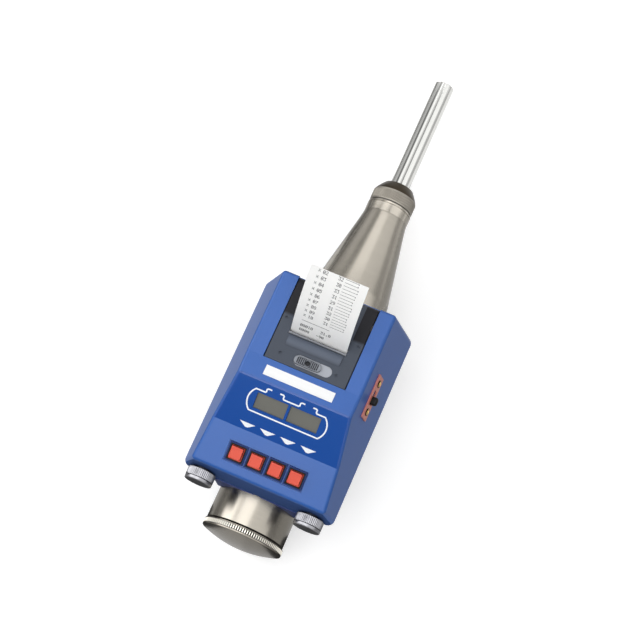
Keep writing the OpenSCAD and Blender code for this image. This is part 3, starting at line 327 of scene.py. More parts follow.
class Finish:
    """A material in the making: its tree, the piece's own coordinates in millimetres, its shader, and the colour
    and roughness that the shader has so far."""

    def __init__(self, name):
        self.material = bpy.data.materials.new(name)
        self.tree = emptied(self.material)
        own = add(self.tree, "ShaderNodeTexCoord").outputs["Object"]
        self.mm = add(self.tree, "ShaderNodeVectorMath", {0: own, 1: (1000, 1000, 1000)}, operation="MULTIPLY")

    def coat(self, base, spread, pattern, gloss, bump, shader):
        """A shader whose colour runs between two tones by a pattern, with what its gloss and bump are given."""
        tone = add(self.tree, "ShaderNodeMapRange", {"Value": pattern, "From Min": 0.6, "From Max": 1.4})
        tones = {6: shade(base, 1 - spread), 7: shade(base, 1 + spread)}
        self.hue = add(self.tree, "ShaderNodeMix", {0: tone, **tones}, data_type="RGBA").outputs[2]
        self.gloss = add(self.tree, "ShaderNodeMapRange", gloss)
        bump = add(self.tree, "ShaderNodeBump", bump)
        self.surface = add(self.tree, "ShaderNodeBsdfPrincipled",
                           {**shader, "Base Color": self.hue, "Roughness": self.gloss, "Normal": bump})
        add(self.tree, "ShaderNodeOutputMaterial", {"Surface": self.surface})

    def laid(self, other, share, *shares, rough=None):
        """Lays another colour, and another roughness if one is given, over what is there, by a share from 0 to 1
        or the product of several."""
        for more in shares:
            share = add(self.tree, "ShaderNodeMath", {0: share, 1: more}, operation="MULTIPLY")
        self.hue = add(self.tree, "ShaderNodeMix", {0: share, 6: self.hue, 7: other}, data_type="RGBA").outputs[2]
        self.tree.links.new(self.hue, self.surface.inputs["Base Color"])
        if rough is not None:
            self.gloss = add(self.tree, "ShaderNodeMix", {0: share, 2: self.gloss, 3: rough})
            self.tree.links.new(self.gloss.outputs[0], self.surface.inputs["Roughness"])

    def past(self, way, start, end):
        """Share from 0 at start to 1 at end of the distance along a direction, in millimetres of the frame."""
        far = add(self.tree, "ShaderNodeVectorMath", {0: self.mm, 1: way}, operation="DOT_PRODUCT")
        return add(self.tree, "ShaderNodeMapRange",
                   {"Value": far.outputs["Value"], "From Min": start, "From Max": end})

    def ahead(self, start, end):
        """Share from 0 at one station to 1 at another, which may lie behind it."""
        return self.past((0, 1, 0), start + REAR / MM, end + REAR / MM)

    def between(self, start, end):
        """Two shares whose product is 1 between two stations and 0 outside them, with soft ends of 0.1 mm."""
        return self.ahead(start - 0.05, start + 0.05), self.ahead(end + 0.05, end - 0.05)

    def sunk(self, land, floor):
        """Share from 0 at the radius of the lands to 1 at that of the grooves, round the tube's axis."""
        flat = add(self.tree, "ShaderNodeVectorMath", {0: self.mm, 1: (1, 0, 1), 2: (0, 0, -AXIS / MM)},
                   operation="MULTIPLY_ADD")
        reach = add(self.tree, "ShaderNodeVectorMath", {0: flat}, operation="LENGTH").outputs["Value"]
        return add(self.tree, "ShaderNodeMapRange", {"Value": reach, "From Min": land, "From Max": floor})


def grained(name, base, rough, grain, spread, height, shader=None):
    """Moulded, cast or pressed stuff: grain is the size of a speck in millimetres, spread how much its colour and
    gloss vary, height how far specks stand out, in millimetres."""
    made = Finish(name)
    speck = add(made.tree, "ShaderNodeTexNoise", {"Vector": made.mm, "Scale": 1 / grain, "Detail": 3.0})
    cloud = add(made.tree, "ShaderNodeTexNoise", {"Vector": made.mm, "Scale": 0.04, "Detail": 2.0})
    mixed = add(made.tree, "ShaderNodeMath", {0: speck, 1: cloud}, operation="ADD")
    made.coat(base, spread, mixed, {"Value": speck, "To Min": rough - spread / 2, "To Max": rough + spread / 2},
              {"Height": speck, "Strength": 0.6, "Distance": height * MM}, shader or {})
    return made


def machined(name, base, rough, pitch, stretch, height):
    """Metal that was turned, drawn or brushed: fine lines pitch millimetres apart, drawn out along X, Y and Z by
    stretch, that stand out by height in millimetres."""
    made = Finish(name)
    drawn = add(made.tree, "ShaderNodeVectorMath", {0: made.mm, 1: stretch}, operation="MULTIPLY")
    line = add(made.tree, "ShaderNodeTexNoise", {"Vector": drawn, "Scale": 1 / pitch, "Detail": 2.0})
    cloud = add(made.tree, "ShaderNodeTexNoise", {"Vector": made.mm, "Scale": 0.06, "Detail": 3.0})
    mixed = add(made.tree, "ShaderNodeMath", {0: line, 1: cloud}, operation="ADD")
    made.coat(base, 0.05, mixed, {"Value": mixed, "From Max": 2.0, "To Min": rough * 0.8, "To Max": rough * 1.2},
              {"Height": line, "Strength": 0.5, "Distance": height * MM}, {"Metallic": 1.0})
    return made


# Specular levels of glossy and of matt plastics
GLOSS, MATT = {"Specular IOR Level": 0.36}, {"Specular IOR Level": 0.14}
# How the lines on metal are drawn out along X, Y and Z: round a turned piece, or along it
RINGS, LENGTHWISE = (0.04, 1, 0.04), (1, 0.1, 1)
FINISHES = {}


def finishes():
    """Every material of the part, made once."""
    if FINISHES:
        return FINISHES
    h, made = bpy.context.scene.hammer_colours, {}
    # Satin nickel plate, turned: warm grey with soft streaks and faint rings; the neck is smoother and painted
    # brighter, a painted highlight
    made["nickel"] = f = machined("Satin nickel plate", h.nickel, 0.25, 0.8, RINGS, 0.0004)
    f.laid(shade(h.nickel, 1.3), *f.between(NECK_S + 1.9, TUBE_END - 0.3), rough=0.22)
    # The same plate on the cap: its ticks scatter the light and their band is painted near white, a painted
    # highlight;
    # the grooves between and beside the ticks and the step behind the rim are painted near black, painted shade
    made["cap"] = f = machined("Satin nickel plate, knurled", h.nickel, 0.25, 0.8, RINGS, 0.0004)
    f.laid(linear("#F2EEE4"), *f.between(CAP_BAND[0] - 0.15, CAP_BAND[1] + 0.15), rough=0.55)
    f.laid(linear("#191713"), f.sunk(CAP_R - 0.25, CAP_R - 0.6), *f.between(6.3, 11.5))
    # Blackened aluminium, turned and knurled: warm grey band, painted dark in the grooves of its diamonds as
    # painted shade, dark on the taper
    made["nose"] = f = machined("Blackened aluminium", shade(h.nickel, 0.92), 0.36, 0.8, RINGS, 0.002)
    f.laid(shade(h.nickel, 0.3), f.sunk(NOSE_R - 0.2, NOSE_R - 0.45), *f.between(275.3, 283.5))
    f.laid(h.taper, f.ahead(284.3, 284.7))
    # Hard chrome on steel, ground and polished: mirror with lengthwise streaks of the room
    made["chrome"] = machined("Hard chrome", linear("#D2D2CF"), 0.08, 1.2, (1, 0.02, 1), 0.0)
    # Aluminium with a fine knurl: pale, broken glints; its groove and the gap behind its head are painted dark,
    # painted shade
    made["aluminium"] = f = machined("Knurled aluminium", linear("#8A8A8E"), 0.35, 0.7, LENGTHWISE, 0.001)
    head = extent("thumbscrew_left")[0][1]
    for start, end in ((head + 2.2, head + 2.7), (head + 8.6, head + 40)):
        f.laid(linear("#2E2F33"), *f.between(start, end))
    # Plain turned steel of the inner parts: grey with fine rings
    made["steel"] = machined("Turned steel", linear("#8F9092"), 0.32, 0.6, (0.05, 1, 0.05), 0.004)
    # Spring steel wire: rings at the pitch of the wire, so that the sleeve reads as a coil
    made["spring"] = machined("Spring steel wire", linear("#7C7D80"), 0.35, 1.8, (0.01, 1, 0.01), 0.3)
    # Tear bar of rolled steel: plain grey, with a pale edge of light along its teeth
    made["tear"] = machined("Rolled steel", linear("#84868C"), 0.42, 0.6, (0.1, 1, 1), 0.002)
    # Brass, turned: yellow with soft glints
    made["brass"] = machined("Turned brass", linear("#C9A35A"), 0.2, 0.5, LENGTHWISE, 0.001)
    # The same brass in the switch screws, painted near black in the slot and round the seat: painted shade
    made["screw"] = f = machined("Turned brass, slotted", linear("#D8B878"), 0.2, 0.5, LENGTHWISE, 0.001)
    seat = float(on_side(0, 0, 0) @ SIDE_NORMAL) / MM
    f.laid(linear("#0E0C0A"), f.past(SIDE_NORMAL, seat + 1.75, seat + 1.6))
    # ABS, moulded with a fine spark grain (0.4 mm, drawn at 0.9 so that it shows): deep blue with a pale sheen
    made["case"] = f = grained("Blue ABS", h.case, 0.34, 0.9, 0.04, 0.008, GLOSS)
    # A printed film covers the display panel: all that lies in its plane, in front of the crease
    level = float(place(0, *LCD_PANEL[:2]) @ LCD_NORMAL) / MM
    f.laid(h.film, f.past(LCD_NORMAL, level - 0.5, level - 0.3), f.ahead(65.4, 65.8), rough=0.16)
    # The rear wall, behind the key panel's edge, is rough and painted at half brightness: painted shade
    f.laid(shade(h.case, 0.5), f.ahead(36.0, 35.6), rough=0.9)
    # Cast metal, stove enamelled: darker blue, a little orange peel
    made["enamel"] = grained("Blue stove enamel", linear("#1B3170"), 0.4, 2.0, 0.06, 0.02, GLOSS)
    # ABS, moulded and satin: grey that falls to near black on the arms beside the paper
    made["cover"] = f = grained("Grey ABS", h.cover, 0.45, 0.7, 0.05, 0.008, MATT)
    across = add(f.tree, "ShaderNodeSeparateXYZ", {0: f.mm})
    across = add(f.tree, "ShaderNodeMath", {0: across}, operation="ABSOLUTE")
    arm = add(f.tree, "ShaderNodeMath", {0: across, 1: 20.9}, operation="GREATER_THAN")
    f.laid(linear("#15151A"), arm, f.ahead(146.5, 148.8))
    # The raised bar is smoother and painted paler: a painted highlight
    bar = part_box("printer_cover")[1][2] / MM
    f.laid(shade(h.cover, 1.7), f.past((0, 0, 1), bar - 1.0, bar - 0.1), rough=0.36)
    # A paler grey on the latch slide, painted near black in its low parts between the ribs and in the hole:
    # painted shade
    made["latch"] = f = grained("Pale grey ABS", linear("#878B93"), 0.36, 0.7, 0.05, 0.006, MATT)
    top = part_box("latch_slide")[1][2] / MM
    f.laid(linear("#1B1C20"), f.past((0, 0, 1), top - 0.35, top - 0.75))
    # Pale polycarbonate plate under the latch
    made["pale"] = grained("Pale polycarbonate", linear("#A9ADB6"), 0.4, 0.8, 0.04, 0.008, MATT)
    # Moulded red key caps: satin, warm; their walls from the step to just under the face are painted dark: painted
    # shade
    made["key"] = f = grained("Red ABS", h.keys, 0.36, 0.6, 0.04, 0.004, MATT)
    level = float(place(0, *KEY_PANEL[:2]) @ KEY_NORMAL) / MM
    f.laid(linear("#4A1410"), f.past(KEY_NORMAL, level + 0.9, level + 1.0),
           f.past(KEY_NORMAL, level + 3.8, level + 3.5))
    # Black nylon: matt, faintly mottled
    made["black"] = grained("Black nylon", linear("#0D0D0E"), 0.42, 0.7, 0.12, 0.01, MATT)
    # Key frames of black nylon, navy outside the inner squares
    made["bezel"] = f = grained("Black and navy nylon", linear("#09090A"), 0.42, 0.7, 0.1, 0.006, MATT)
    x = add(f.tree, "ShaderNodeSeparateXYZ", {0: f.mm})
    x = add(f.tree, "ShaderNodeMath", {0: x, 1: 0.0, 2: KEY_PITCH}, operation="WRAP")
    x = add(f.tree, "ShaderNodeMath", {0: x, 1: KEY_PITCH / 2}, operation="SUBTRACT")
    slope = (0, math.cos(KEY_PANEL[2]), math.sin(KEY_PANEL[2]))
    mid = float(on_panel(KEY_PANEL, 0, KEY_UP, 0) @ slope) / MM
    up = add(f.tree, "ShaderNodeVectorMath", {0: f.mm, 1: slope}, operation="DOT_PRODUCT").outputs["Value"]
    up = add(f.tree, "ShaderNodeMath", {0: up, 1: mid}, operation="SUBTRACT")
    x, up = (add(f.tree, "ShaderNodeMath", {0: v}, operation="ABSOLUTE") for v in (x, up))
    out = add(f.tree, "ShaderNodeMath", {0: x, 1: up}, operation="MAXIMUM")
    rim = add(f.tree, "ShaderNodeMapRange", {"Value": out, "From Min": 5.7, "From Max": 5.9})
    f.laid(linear("#0F2A66"), rim)
    # Nitrile rubber, ground: dull black
    made["rubber"] = grained("Nitrile rubber", linear("#1B1B1C"), 0.7, 0.5, 0.15, 0.02)
    # Engraved white laminate: smooth, faintly cloudy
    made["label"] = grained("White laminate", linear("#F1F2F2"), 0.28, 1.5, 0.02, 0.003, GLOSS)
    # Printing paper: fibrous, off-white, lets light through
    sheet = {"Subsurface Weight": 0.2, "Subsurface Radius": (1, 1, 1), "Subsurface Scale": 2 * MM}
    made["paper"] = grained("Printing paper", linear("#FAFAF8"), 0.75, 0.8, 0.02, 0.01, sheet)
    # Ribbon ink on paper: grey-black, broken by the fibres
    made["ink"] = grained("Ribbon ink", linear("#2A2A2D"), 0.7, 0.5, 0.3, 0.003)
    # Screen-printed white enamel
    made["white_ink"] = grained("White screen ink", linear("#EEF2F7"), 0.4, 0.8, 0.02, 0.003)
    # Painted steel plate of the switch: salmon, satin
    made["plate"] = grained("Salmon paint", h.plate, 0.36, 0.8, 0.07, 0.008)
    # Wool felt: matt, fibrous
    made["felt"] = grained("Wool felt", linear("#CFC6AE"), 0.9, 0.6, 0.18, 0.1)
    # Glass-fibre board with green lacquer
    made["board"] = grained("Green board lacquer", linear("#1C5A33"), 0.35, 2.5, 0.2, 0.02)
    # Printed foil round the cells
    made["jacket"] = grained("Printed foil", linear("#35599A"), 0.3, 3.0, 0.1, 0.01, {"Metallic": 0.4})
    # Liquid crystal glass at rest: olive grey, darker towards its lower edge, smooth
    made["glass"] = f = grained("Display glass", h.glass, 0.2, 1.2, 0.03, 0.0, GLOSS)
    f.laid(shade(h.glass, 0.6), f.ahead(81.6, 79.4))
    FINISHES.update({key: finish.material for key, finish in made.items()})
    return FINISHES


# CAD nodes that keep their shape, by finish
CAD_FINISH = {
    "case": ["upper_case"], "enamel": ["base_saddle", "clamp_straps"], "cover": ["printer_cover"],
    "steel": ["trip_screw", "lock_nut", "spring_seat", "split_ring", "guide_rod", "carrier_disc", "pawl",
              "pawl_pin", "hammer_mass", "lock_bush", "sensor_rail", "strap_screws", "platen_shaft", "motor",
              "switch_body"],
    "spring": ["buffer_spring", "impact_spring", "compression_spring", "lock_spring"], "nose": ["lock_button"],
    "felt": ["felt_seal"], "key": ["rider"], "pale": ["latch_plate", "platen_gear", "paper_spindle"],
    "black": ["printer_frame", "print_head", "battery_tray", "cover_pin"], "bezel": ["key_bezels"],
    "rubber": ["platen_roller"], "brass": ["motor_pinion"], "paper": ["paper_roll"],
    "board": ["main_board", "display_board", "key_board"], "glass": ["lcd_modules"], "label": ["label_plate"],
    "plate": ["switch_plate"], "jacket": ["battery_cells"],
}


# Operators


class HAMMER_OT_finishes(bpy.types.Operator):
    """Gives each CAD node that keeps its shape a procedural material"""
    bl_idname = "hammer.finishes"
    bl_label = "Finish the CAD nodes"

    def execute(self, context):
        made = finishes()
        for finish, nodes in CAD_FINISH.items():
            for name in nodes:
                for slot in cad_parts[name].material_slots:
                    slot.material = made[finish]
        return {"FINISHED"}


class HAMMER_OT_tube(bpy.types.Operator):
    """Turns the tube: straight, then a cone that runs into the neck through a hollow blend"""
    bl_idname = "hammer.tube"
    bl_label = "Tube"

    def execute(self, context):
        blend, slope = size("blend"), (TUBE_R - NECK_R) / (NECK_S - CONE_S)
        # Blend: quadratic curve from the cone to the neck, with their corner as its middle point
        start, corner = np.array([NECK_S - blend, NECK_R + slope * blend]), np.array([NECK_S, NECK_R])
        end = corner + (2, 0)
        curve = [(1 - u) ** 2 * start + 2 * u * (1 - u) * corner + u * u * end for u in np.linspace(0, 1, 15)]
        # Window on the underside for the stem of the plunger lock, behind its bush
        stem = middle("lock_button")[1]
        a, b = stem - 2.8, stem + 2.8
        outer = [(11.4, 28.2), *((s, TUBE_R) for s in (11.9, a, b, 60, 120, 180, 200.4)), (202.4, 28.45),
                 (225, TUBE_R - (225 - CONE_S) * slope), *curve, (272.3, 16.85), (272.4, 16.5), (272.8, 16.5),
                 (272.9, 16.85), (273.6, 16.85), (274.3, 16.6), (274.5, 15.9), (TUBE_END, 15.9)]
        inner = [(TUBE_END, 13.7), (NECK_S, 13.7), *((s, TUBE_BORE) for s in (CONE_S, b, a, 11.4))]
        turns = 192
        # The window lies between a and b, which are rows 2 and 3 of the outer wall and run back on the inner one
        made = windowed(*turned(outer + inner, turns), turns, 2, len(outer) + 3, turns // 2 - 3, turns // 2 + 3)
        solid("tube", *made, "housing", "satin_nickel", "nickel", ["housing"])
        return {"FINISHED"}


class HAMMER_OT_rear_cap(bpy.types.Operator):
    """Turns the rear cap: a shallow dome and a rim with straight ticks between two thin grooves"""
    bl_idname = "hammer.rear_cap"
    bl_label = "Rear cap"

    def execute(self, context):
        count, depth = round(TURN * CAP_R / size("cap_pitch")), size("cap_depth")
        # Dome: arc of a ball, from its radius at the rim and its rise
        edge, rise = 28.9, 5.3
        ball = (edge ** 2 + rise ** 2) / 2 / rise
        r = np.linspace(0, edge, 22)
        dome = np.stack([ball - np.sqrt(ball ** 2 - r ** 2), r], -1).tolist()
        band = np.linspace(*CAP_BAND, 9)
        rim = [(5.5, 29.2), (5.8, 29.5), (6.3, 29.5), (6.35, 28.9), (6.7, 28.9), (6.75, 29.6)]
        rim += [(s, CAP_R) for s in band] + [(9.6, 29.6), (9.65, 28.9), (10.0, 28.9), (10.05, 29.5), (10.35, 29.5),
                                             (10.45, 29.3), (10.45, 27.5), (11.4, 27.5), (11.4, 25.9)]
        hidden = [(22.0, 25.9), (22.0, 21.6), (7.0, 21.6), (7.0, 0)]

        def ticks(s, t):
            """Depth times a clipped cosine round the rim, inside the band only: flat lands and narrow grooves."""
            inside = (s > band[0] - 0.01) & (s < band[-1] + 0.01)
            return inside * depth * np.clip(2.2 * np.cos(count * t), 0, 1)

        solid("rear_cap_turned", *turned(dome + rim + hidden, count * 6, ticks), "housing", "satin_nickel",
              "cap", ["rear_cap"])
        return {"FINISHED"}


class HAMMER_OT_nose(bpy.types.Operator):
    """Turns the nose ring: a band of fine diamonds, a bright edge and a dark rounded taper"""
    bl_idname = "hammer.nose"
    bl_label = "Nose ring"

    def execute(self, context):
        pitch, depth = size("nose_pitch"), size("nose_depth")
        count = round(TURN * NOSE_R / pitch)
        band = np.linspace(*NOSE_BAND, 34)
        u = np.linspace(0, 1, 9)[1:]
        taper = np.stack([284.6 + 7.9 * u, 16.4 - 5.0 * u ** 1.25], -1).tolist()
        ring = [(264.9, 7.56), (264.9, 13.6), (275.2, 13.6), (275.2, 16.1), (275.6, 16.5), (276.4, 16.5)]
        ring += [(s, NOSE_R) for s in band] + [(283.4, 16.5), (283.6, NOSE_R), (284.2, NOSE_R), (284.6, 16.4)]
        ring += taper + [(292.6, 11.0), (292.6, 7.9), (292.3, 7.56)]

        def diamonds(s, t):
            """Two crossed sets of grooves: depth times one less the smaller of two sines, inside the band only."""
            lean = math.pi * s / pitch
            high = np.minimum(np.abs(np.sin(count * t / 2 + lean)), np.abs(np.sin(count * t / 2 - lean)))
            return ((s > band[0] - 0.1) & (s < band[-1] + 0.1)) * depth * (1 - high)

        solid("nose_ring_knurled", *turned(ring, count * 6, diamonds), "housing", "dark_metal", "nose",
              ["nose_ring"])
        return {"FINISHED"}


class HAMMER_OT_plunger(bpy.types.Operator):
    """Turns the plunger: a ground bar with a bevel and a dome of 25 mm radius"""
    bl_idname = "hammer.plunger"
    bl_label = "Plunger"

    def execute(self, context):
        # Station of the tip, radius of its dome, radius in the groove in front of the nose ring
        tip, ball, groove = 384.6, 25, 7.0
        r = np.linspace(6.5, 0, 12)
        dome = np.stack([tip - ball + np.sqrt(ball ** 2 - r ** 2), r], -1).tolist()
        bar = [(253.9, 0), (253.9, PLUNGER_R - 0.1), (254.0, PLUNGER_R), (292.6, PLUNGER_R), (292.65, groove),
               (293.35, groove), *((s, PLUNGER_R) for s in (293.4, 320, 350, 382.7))]
        solid("plunger_ground", *turned(bar + dome, 128), "plunger_set", "polished_steel", "chrome", ["plunger"])
        return {"FINISHED"}


class HAMMER_OT_thumbscrews(bpy.types.Operator):
    """Turns the two thumbscrews: fine straight knurl, a thin groove and a plain rounded end"""
    bl_idname = "hammer.thumbscrews"
    bl_label = "Thumbscrews"

    def execute(self, context):
        radius, fillet, depth = 10.0, 0.8, size("thumb_depth")
        count = round(TURN * radius / size("thumb_pitch"))
        a = np.linspace(0, math.pi / 2, 6)
        edge = np.stack([fillet * (1 - np.cos(a)), 9.1 + fillet * np.sin(a)], -1).tolist()
        head = [(0, 0), (0, 5.0)] + edge + [(2.2, 9.9), (2.25, 9.4), (2.65, 9.4), (2.7, 9.9)]
        head += [(s, radius) for s in np.linspace(2.9, 8.2, 5)] + [(8.3, 9.8), (8.8, 9.4), (8.8, 6.0)]
        for side in ("left", "right"):
            node = f"thumbscrew_{side}"
            (_, rear, _), (_, tip, _) = extent(node)
            shank = [(tip - 12.3, 6.0), (tip - 12.3, 2.5), (tip - 0.4, 2.5), (tip, 2.1), (tip, 0)]

            def ticks(s, t):
                """Depth times a raised cosine round the head, inside the knurled band only."""
                return ((s > rear + 2.8) & (s < rear + 8.25)) * depth * (0.5 + 0.5 * np.cos(count * t))

            made = turned([(rear + s, r) for s, r in head] + shank, count * 4, ticks, middle(node)[::2])
            solid(f"thumbscrew_{side}_knurled", *made, node, "knurled_aluminium", "aluminium", [node])
        return {"FINISHED"}


class HAMMER_OT_keys(bpy.types.Operator):
    """Moulds the four keys: square feet with a step, and faintly dished faces"""
    bl_idname = "hammer.keys"
    bl_label = "Keys"

    def execute(self, context):
        # Heights over the panel and half widths of the loops, from the foot to the middle of the face
        out = np.array([-4.0, -3.9, 0.7, 0.9, 0.92, 3.6, 3.88, 4.0, 3.96, 3.9, 3.86])[:, None]
        half = np.array([4.6, 4.7, 4.7, 4.6, 4.2, 4.1, 4.03, 3.85, 3.0, 1.6, 0.4])[:, None]
        # The face sits a little high on the foot, so that the step is wider below it than above it
        up = KEY_UP + np.where(half < 4.5, 0.4, 0)
        x, y = rounded(14, 64)
        for i in range(4):
            node = f"key_{i + 1}"
            loops = on_panel(KEY_PANEL, (i - 1.5) * KEY_PITCH + half * x, up + half * y, out)
            solid(f"{node}_cap", *stacked(loops), node, "red_plastic", "key", [node])
        return {"FINISHED"}


class HAMMER_OT_latch(bpy.types.Operator):
    """Moulds the latch slide: a long rounded slider with cross ribs round a dark hole"""
    bl_idname = "hammer.latch"
    bl_label = "Latch slide"

    def execute(self, context):
        low, high = extent("latch_slide")
        mid_x, mid_s, _ = middle("latch_slide")
        half_l, half_w, _ = (high - low) / 2
        foot, top = low[2], high[2]
        t = np.linspace(0, TURN, 128, endpoint=False)
        straight = half_l - half_w
        edge_x = np.clip(np.cos(t) * half_l * 1.6, -straight, straight) + half_w * np.cos(t)
        edge_y = half_w * np.sin(t)
        share = np.array([1, 1, 0.97, 0.93, 0.86, 0.82, *np.linspace(0.78, 0.02, 26)])[:, None]
        x, y = share * edge_x, share * edge_y
        # Height: a bevelled rim, a lower floor with ribs across it, and a hole in the middle
        ribs = 0.5 * np.clip(2 * np.cos(TURN * x / size("rib")), -1, 1) * (np.abs(x) > 1.9)
        hole = np.clip((1.7 - np.hypot(x, y)) / 0.4, 0, 1) * 0.9
        floor = top - 0.55 + 0.45 * ribs - hole
        z = np.where(share > 0.84, top - 0.25 - 0.5 * np.clip(share - 0.95, 0, 1) * 8, floor)
        z = np.maximum(z, foot + 0.3)
        z[0] = foot
        made = stacked(place(mid_x + x, mid_s + y, z))
        solid("latch_slide_ribbed", *made, "latch", "grey_plastic", "latch", ["latch_slide"], sharp=28)
        return {"FINISHED"}


class HAMMER_OT_tear_bar(bpy.types.Operator):
    """Stamps the tear bar: a strip whose front edge runs in teeth"""
    bl_idname = "hammer.tear_bar"
    bl_label = "Tear bar"

    def execute(self, context):
        (x0, s0, z0), (x1, s1, z1) = extent("tear_bar")
        teeth = round((x1 - x0) / size("tooth"))
        x = np.linspace(x0, x1, teeth * 2 + 1)[:, None]
        notch = (np.arange(teeth * 2 + 1) % 2)[:, None]
        # Section of the strip, front edge last: the notches take 0.6 mm off its front and 0.35 mm off its top
        s = np.array([s0, s0, s0 + 0.35, s1 - 0.5, s1, s1]) - notch * np.array([0, 0, 0, 0.2, 0.6, 0.1])
        z = np.array([z0, z1 - 0.35, z1, z1, z1 - 0.4, z0]) - notch * np.array([0, 0, 0, 0.35, 0.35, 0])
        solid("tear_bar_toothed", *stacked(place(x, s, z)), "printer_cover", "steel", "tear",
              ["tear_bar"], sharp=20)
        return {"FINISHED"}


class HAMMER_OT_well_strips(bpy.types.Operator):
    """Lays two black nylon strips under the edges of the printer's well, so that no light comes up beside the
    cover: painted shade, dark sheets where the well lies in shade
    """
    bl_idname = "hammer.well_strips"
    bl_label = "Well strips"

    def execute(self, context):
        # Half width of the well and of what the strips reach to, their rear and front ends, their thickness
        well, reach, rear, front, thick = 29.45, 34, 120.5, 164.0, 1.2
        top = extent("upper_case")[1][2] - 2.7
        low = np.array([[-reach, rear, top - thick], [well, rear, top - thick]])
        high = np.array([[-well, front, top], [reach, front, top]])
        solid("well_strips", *bricks(low, high, place), "housing", "black_plastic", "black")
        return {"FINISHED"}


# Rows of a common 5 by 7 dot font, two hex digits a row from the top down, and its dot pitches in millimetres
DIGITS = {"0": "0E11131519110E", "1": "040C040404040E", "2": "0E11010204081F", "3": "1F02040201110E",
          "4": "02060A121F0202", "5": "1F101E0101110E", "6": "0608101E11110E", "7": "1F010204080808",
          "8": "0E11110E11110E", "9": "0E11110F01020C", "-": "0000001F000000", ".": "00000000000C0C",
          "x": "00110A040A1100"}
DOT_ACROSS, DOT_UP = 0.31, 0.36


def dots(text, x, run):
    """Places of the dots of one line of figures, its left edge at x and its middle at run."""
    found = []
    for i, figure in enumerate(text):
        k, c = np.nonzero([[row >> (4 - c) & 1 for c in range(5)] for row in bytes.fromhex(DIGITS[figure])])
        found.append(np.stack([x + DOT_ACROSS * (6 * i + c), run + DOT_UP * (3 - k)], -1))
    return np.concatenate(found)


class HAMMER_OT_paper(bpy.types.Operator):
    """Curls the paper strip out of the slot and prints plain figures, bars and a rule on it"""
    bl_idname = "hammer.paper"
    bl_label = "Paper strip"

    def execute(self, context):
        edge = PAPER_HALF * np.array([-1, -0.5, 0, 0.5, 1])
        x, out = np.concatenate([edge, edge[::-1]]), np.repeat([PAPER_THIN, -PAPER_THIN], len(edge))
        run = np.linspace(-PAPER_TAIL, PAPER_RUN, 61)[:, None]
        solid("paper_curl", *stacked(on_paper(x, run, out)), "printer_cover", "paper", "paper", ["paper_strip"])

        # Two lines of figures, then rows of a cross, a number and a value, each with an open bar
        marks = [dots("00010", -15.0, 8.2), dots("31.0", -0.3, 8.2), dots("0000", -15.0, 3.6),
                 dots("-90", -2.6, 3.6)]
        # Run of the first row, pitch of the rows, width of a bar's lines and of the hooks at its end
        first, pitch, line, hook = 18.0, 4.56, 0.24, 0.45
        bars = []
        for i, value in enumerate(("31", "30", "32", "31", "29", "31", "33", "30", "32")):
            row, end = first + pitch * i, 14.0 + 0.5 * math.sin(2.1 * i)
            marks += [dots("x", -14.8, row), dots(f"{10 - i:02d}", -11.4, row), dots(value, -0.5, row)]
            bars += [(4.3, row + up, end, row + up + line) for up in (-1.1, 1.18)]
            bars += [(end, row + low, end + hook, row + high) for low, high in ((-1.2, -0.4), (0.6, 1.5))]
        rule = (-14.8, 13.2, 5.2, 13.5)
        spots = np.concatenate(marks)
        boxes = np.concatenate([np.column_stack([spots, spots + size("dot")]), bars, [rule]])
        low, high = (np.full(len(boxes), PAPER_THIN + v) for v in (INK_LOW, INK_ON_PAPER))
        made = bricks(np.column_stack([boxes[:, :2], low]), np.column_stack([boxes[:, 2:], high]), on_paper)
        solid("paper_print", *made, "printer_cover", "paper", "ink")
        return {"FINISHED"}


class HAMMER_OT_display_marks(bpy.types.Operator):
    """Prints the white line round the displays and the four arrows over the keys"""
    bl_idname = "hammer.display_marks"
    bl_label = "Display marks"

    def execute(self, context):
        def on_lcd(x, up, out):
            """On the display panel."""
            return on_panel(LCD_PANEL, x, up, out)

        # The sides are arcs that bulge 3.4 mm past their corners, which lie 25.1 mm from the middle
        radius, reach = 10.6, math.asin(7.8 / 10.6)
        a = np.linspace(-reach, reach, 17)
        right = np.stack([17.9 + radius * np.cos(a), 3.8 + radius * np.sin(a)], -1)
        left = right * (-1, 1)
        paths = [
            [(-14.6, 14.5), (-17.2, 14.5), (-18.0, 13.9), (-18.0, 12.2), (-18.6, 11.6), *left[::-1].tolist(),
             *right.tolist(), (18.9, 11.6), (18.3, 12.2), (18.3, 13.9), (17.5, 14.5), (15.2, 14.5)],
            [(-8.8, 14.5), (-6.4, 14.5), (-5.7, 13.9), (-5.7, 12.2), (-5.0, 11.6), (5.5, 11.6), (6.3, 12.2),
             (6.3, 13.9), (7.0, 14.5), (9.4, 14.5)],
        ]
        lines = [ribbon(path, size("line"), on_lcd, INK_LOW, INK_HIGH) for path in paths]
        solid("display_outline", *joined(lines), "housing", "white_plastic", "white_ink")

        # Arrows: four corners each, wide side up
        x = np.array([-22.2, -7.6, 7.3, 22.2])[:, None, None] + (-5.6, 5.6, 0.9, -0.9)
        up, out = np.array([-12.8, -12.8, -15.9, -15.9]), np.array([INK_LOW, INK_HIGH])[:, None]
        arrows = [stacked(loops) for loops in on_lcd(x, up, out)]
        solid("key_arrows", *joined(arrows), "housing", "white_plastic", "white_ink")
        return {"FINISHED"}


